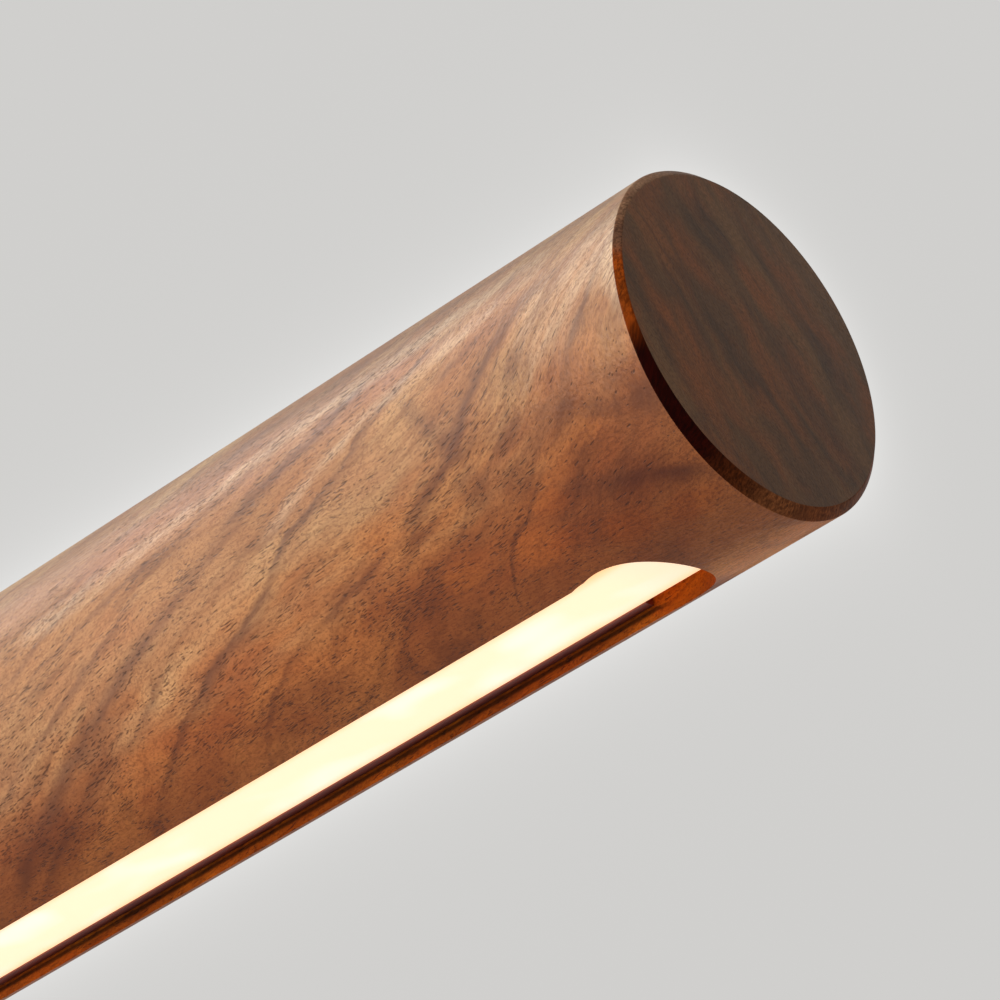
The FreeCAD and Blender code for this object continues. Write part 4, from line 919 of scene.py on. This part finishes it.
shape = turned([(0, BUTTON_FACE + 0.35), (1.5, BUTTON_FACE + 0.308), (3, BUTTON_FACE + 0.18),
                (4.3, BUTTON_FACE), (5.5, BUTTON_FACE), (5.5, CAP_SEAM), (6.5, CAP_SEAM),
                (6.5, CAP_SEAM + 1), (0, CAP_SEAM + 1)], ALONG_X)
button_brass = turned_brass("button_brass", tuple(ON_BAR @ Vector((0, 0, BUTTON_RISE))),
                            (0, math.radians(90) - BAR_TILT, 0), 0.22)
piece("push_button", soften(shape, 0.35, 4), "button", [button_brass], ["button"],
      ON_BAR @ Matrix.Translation((0, 0, BUTTON_RISE)))

board_green = moulded("board_green", paint(30, 92, 62), 0.3, 0.005)
refinish(control_board=board_green, board_components=black_plastic, inlet=contact_nickel,
         cap_ring=stand_brass, switch_body=black_plastic, switch_plunger=black_plastic)

# ---- Floor, background and lights ----------------------------------
# A pale floor that runs out into a pale backdrop, a large soft lamp in front of the bar and a
# smaller one above it, and a faint glow on the backdrop round the bar.

BACKGROUND = paint(208, 207, 205)


def looked_at(finish):
    """1 where the camera, a glossy surface or glass looks straight at a thing."""
    ray = add_node(finish, "LightPath").outputs
    return calc(finish, "MAXIMUM", ray["Is Camera Ray"],
                calc(finish, "MAXIMUM", ray["Is Glossy Ray"], ray["Is Transmission Ray"]))


floor_paint, floor_shader = new_finish("floor_paint", Roughness=0.9)
floor_place = in_piece(floor_paint)
mottle = noise(floor_paint, floor_place, (60, 60, 60))
connect(floor_paint, blend_colours(floor_paint, mottle, paint(214, 214, 214), paint(210, 210, 210)),
        floor_shader, "Base Color")
from_lamp = add_node(floor_paint, "VectorMath", {0: floor_place}, operation="LENGTH").outputs["Value"]
runs_out = times(floor_paint, fade(floor_paint, from_lamp, 250, 1100), looked_at(floor_paint))
far_floor = add_node(floor_paint, "Emission", {"Color": BACKGROUND, "Strength": 1.0})
floor_mix = add_node(floor_paint, "MixShader", {0: runs_out, 1: floor_shader.outputs[0],
                                                2: far_floor.outputs[0]})
connect(floor_paint, floor_mix.outputs[0], floor_paint.node_tree.nodes["Material Output"], "Surface")
shape = bmesh.new()
bmesh.ops.create_grid(shape, x_segments=1, y_segments=1, size=15)
floor = as_object("floor", shape)
floor.data.materials.append(floor_paint)

# The glow is placed by the bar's tip, its direction and its half width, in half widths of the
# view at rest.
BAR_TIP, BAR_ALONG = Vector((0.49, 0.306)), Vector((0.856, 0.517))
TIP_HALF_WIDTH, TIP_HALF_DEPTH, NARROWING = 0.39, 0.19, 0.0247

world = bpy.data.worlds.new("studio")
bpy.context.scene.world = world
world.use_nodes = True
world.node_tree.nodes.clear()
ambient = add_node(world, "Background", {"Color": (0.95, 0.97, 1.0, 1), "Strength": 0.25})
look = add_node(world, "TexCoord").outputs["Generated"]
ahead = dot(world, look, camera.rotation_quaternion @ Vector((0, 0, -1)))
half_view = camera.data.sensor_width / 2 / camera.data.lens
sideways, upwards = (calc(world, "DIVIDE", dot(world, look, camera.rotation_quaternion @ Vector(way)),
                          times(world, ahead, half_view)) for way in ((1, 0, 0), (0, 1, 0)))
along_bar = plus(world, calc(world, "MULTIPLY_ADD", sideways, BAR_ALONG.x, -BAR_TIP.dot(BAR_ALONG)),
                 times(world, upwards, BAR_ALONG.y))
across_bar = plus(world, calc(world, "MULTIPLY_ADD", sideways, -BAR_ALONG.y, BAR_TIP.x * BAR_ALONG.y
                              - BAR_TIP.y * BAR_ALONG.x), times(world, upwards, BAR_ALONG.x))
across_bar = calc(world, "DIVIDE", across_bar,
                  calc(world, "MULTIPLY_ADD", along_bar, NARROWING, TIP_HALF_WIDTH))
beyond = calc(world, "DIVIDE", calc(world, "MAXIMUM", along_bar, 0.0), TIP_HALF_DEPTH)
from_bar = calc(world, "SQRT", plus(world, calc(world, "POWER", beyond, 2.0),
                                    times(world, across_bar, across_bar)))
outside = calc(world, "MAXIMUM", minus(world, from_bar, 1.0), 0.0)
near_glow = times(world, calc(world, "POWER", 0.002, outside), 0.09)
wide_glow = times(world, calc(world, "POWER", 0.15, outside), 0.025)
backdrop_glow = times(world, calc(world, "GREATER_THAN", ahead, 0.0), plus(world, near_glow, wide_glow))
backdrop = vector_calc(world, "ADD", BACKGROUND[:3], backdrop_glow)
behind = add_node(world, "Background", {"Color": backdrop, "Strength": 1.0})
either = add_node(world, "MixShader", {0: looked_at(world), 1: ambient.outputs[0], 2: behind.outputs[0]})
add_node(world, "OutputWorld", {"Surface": either.outputs[0]})


def softbox(name, distance, way, side, watts, colour):
    """A large square soft lamp at a distance from the bar's end, which it points at."""
    light = bpy.data.lights.new(name, "AREA")
    light.size = side
    light.energy = watts
    light.color = colour
    place = BAR_END + distance * Vector(way)
    aimed(name, light, place, BAR_END - place)


softbox("front_light", 1.3, (-0.15, -0.93, 0.33), 1.0, 17, (1, 0.97, 0.93))
softbox("top_light", 1.6, (-0.709, -0.2, 0.676), 0.8, 9, (0.97, 0.98, 1.0))
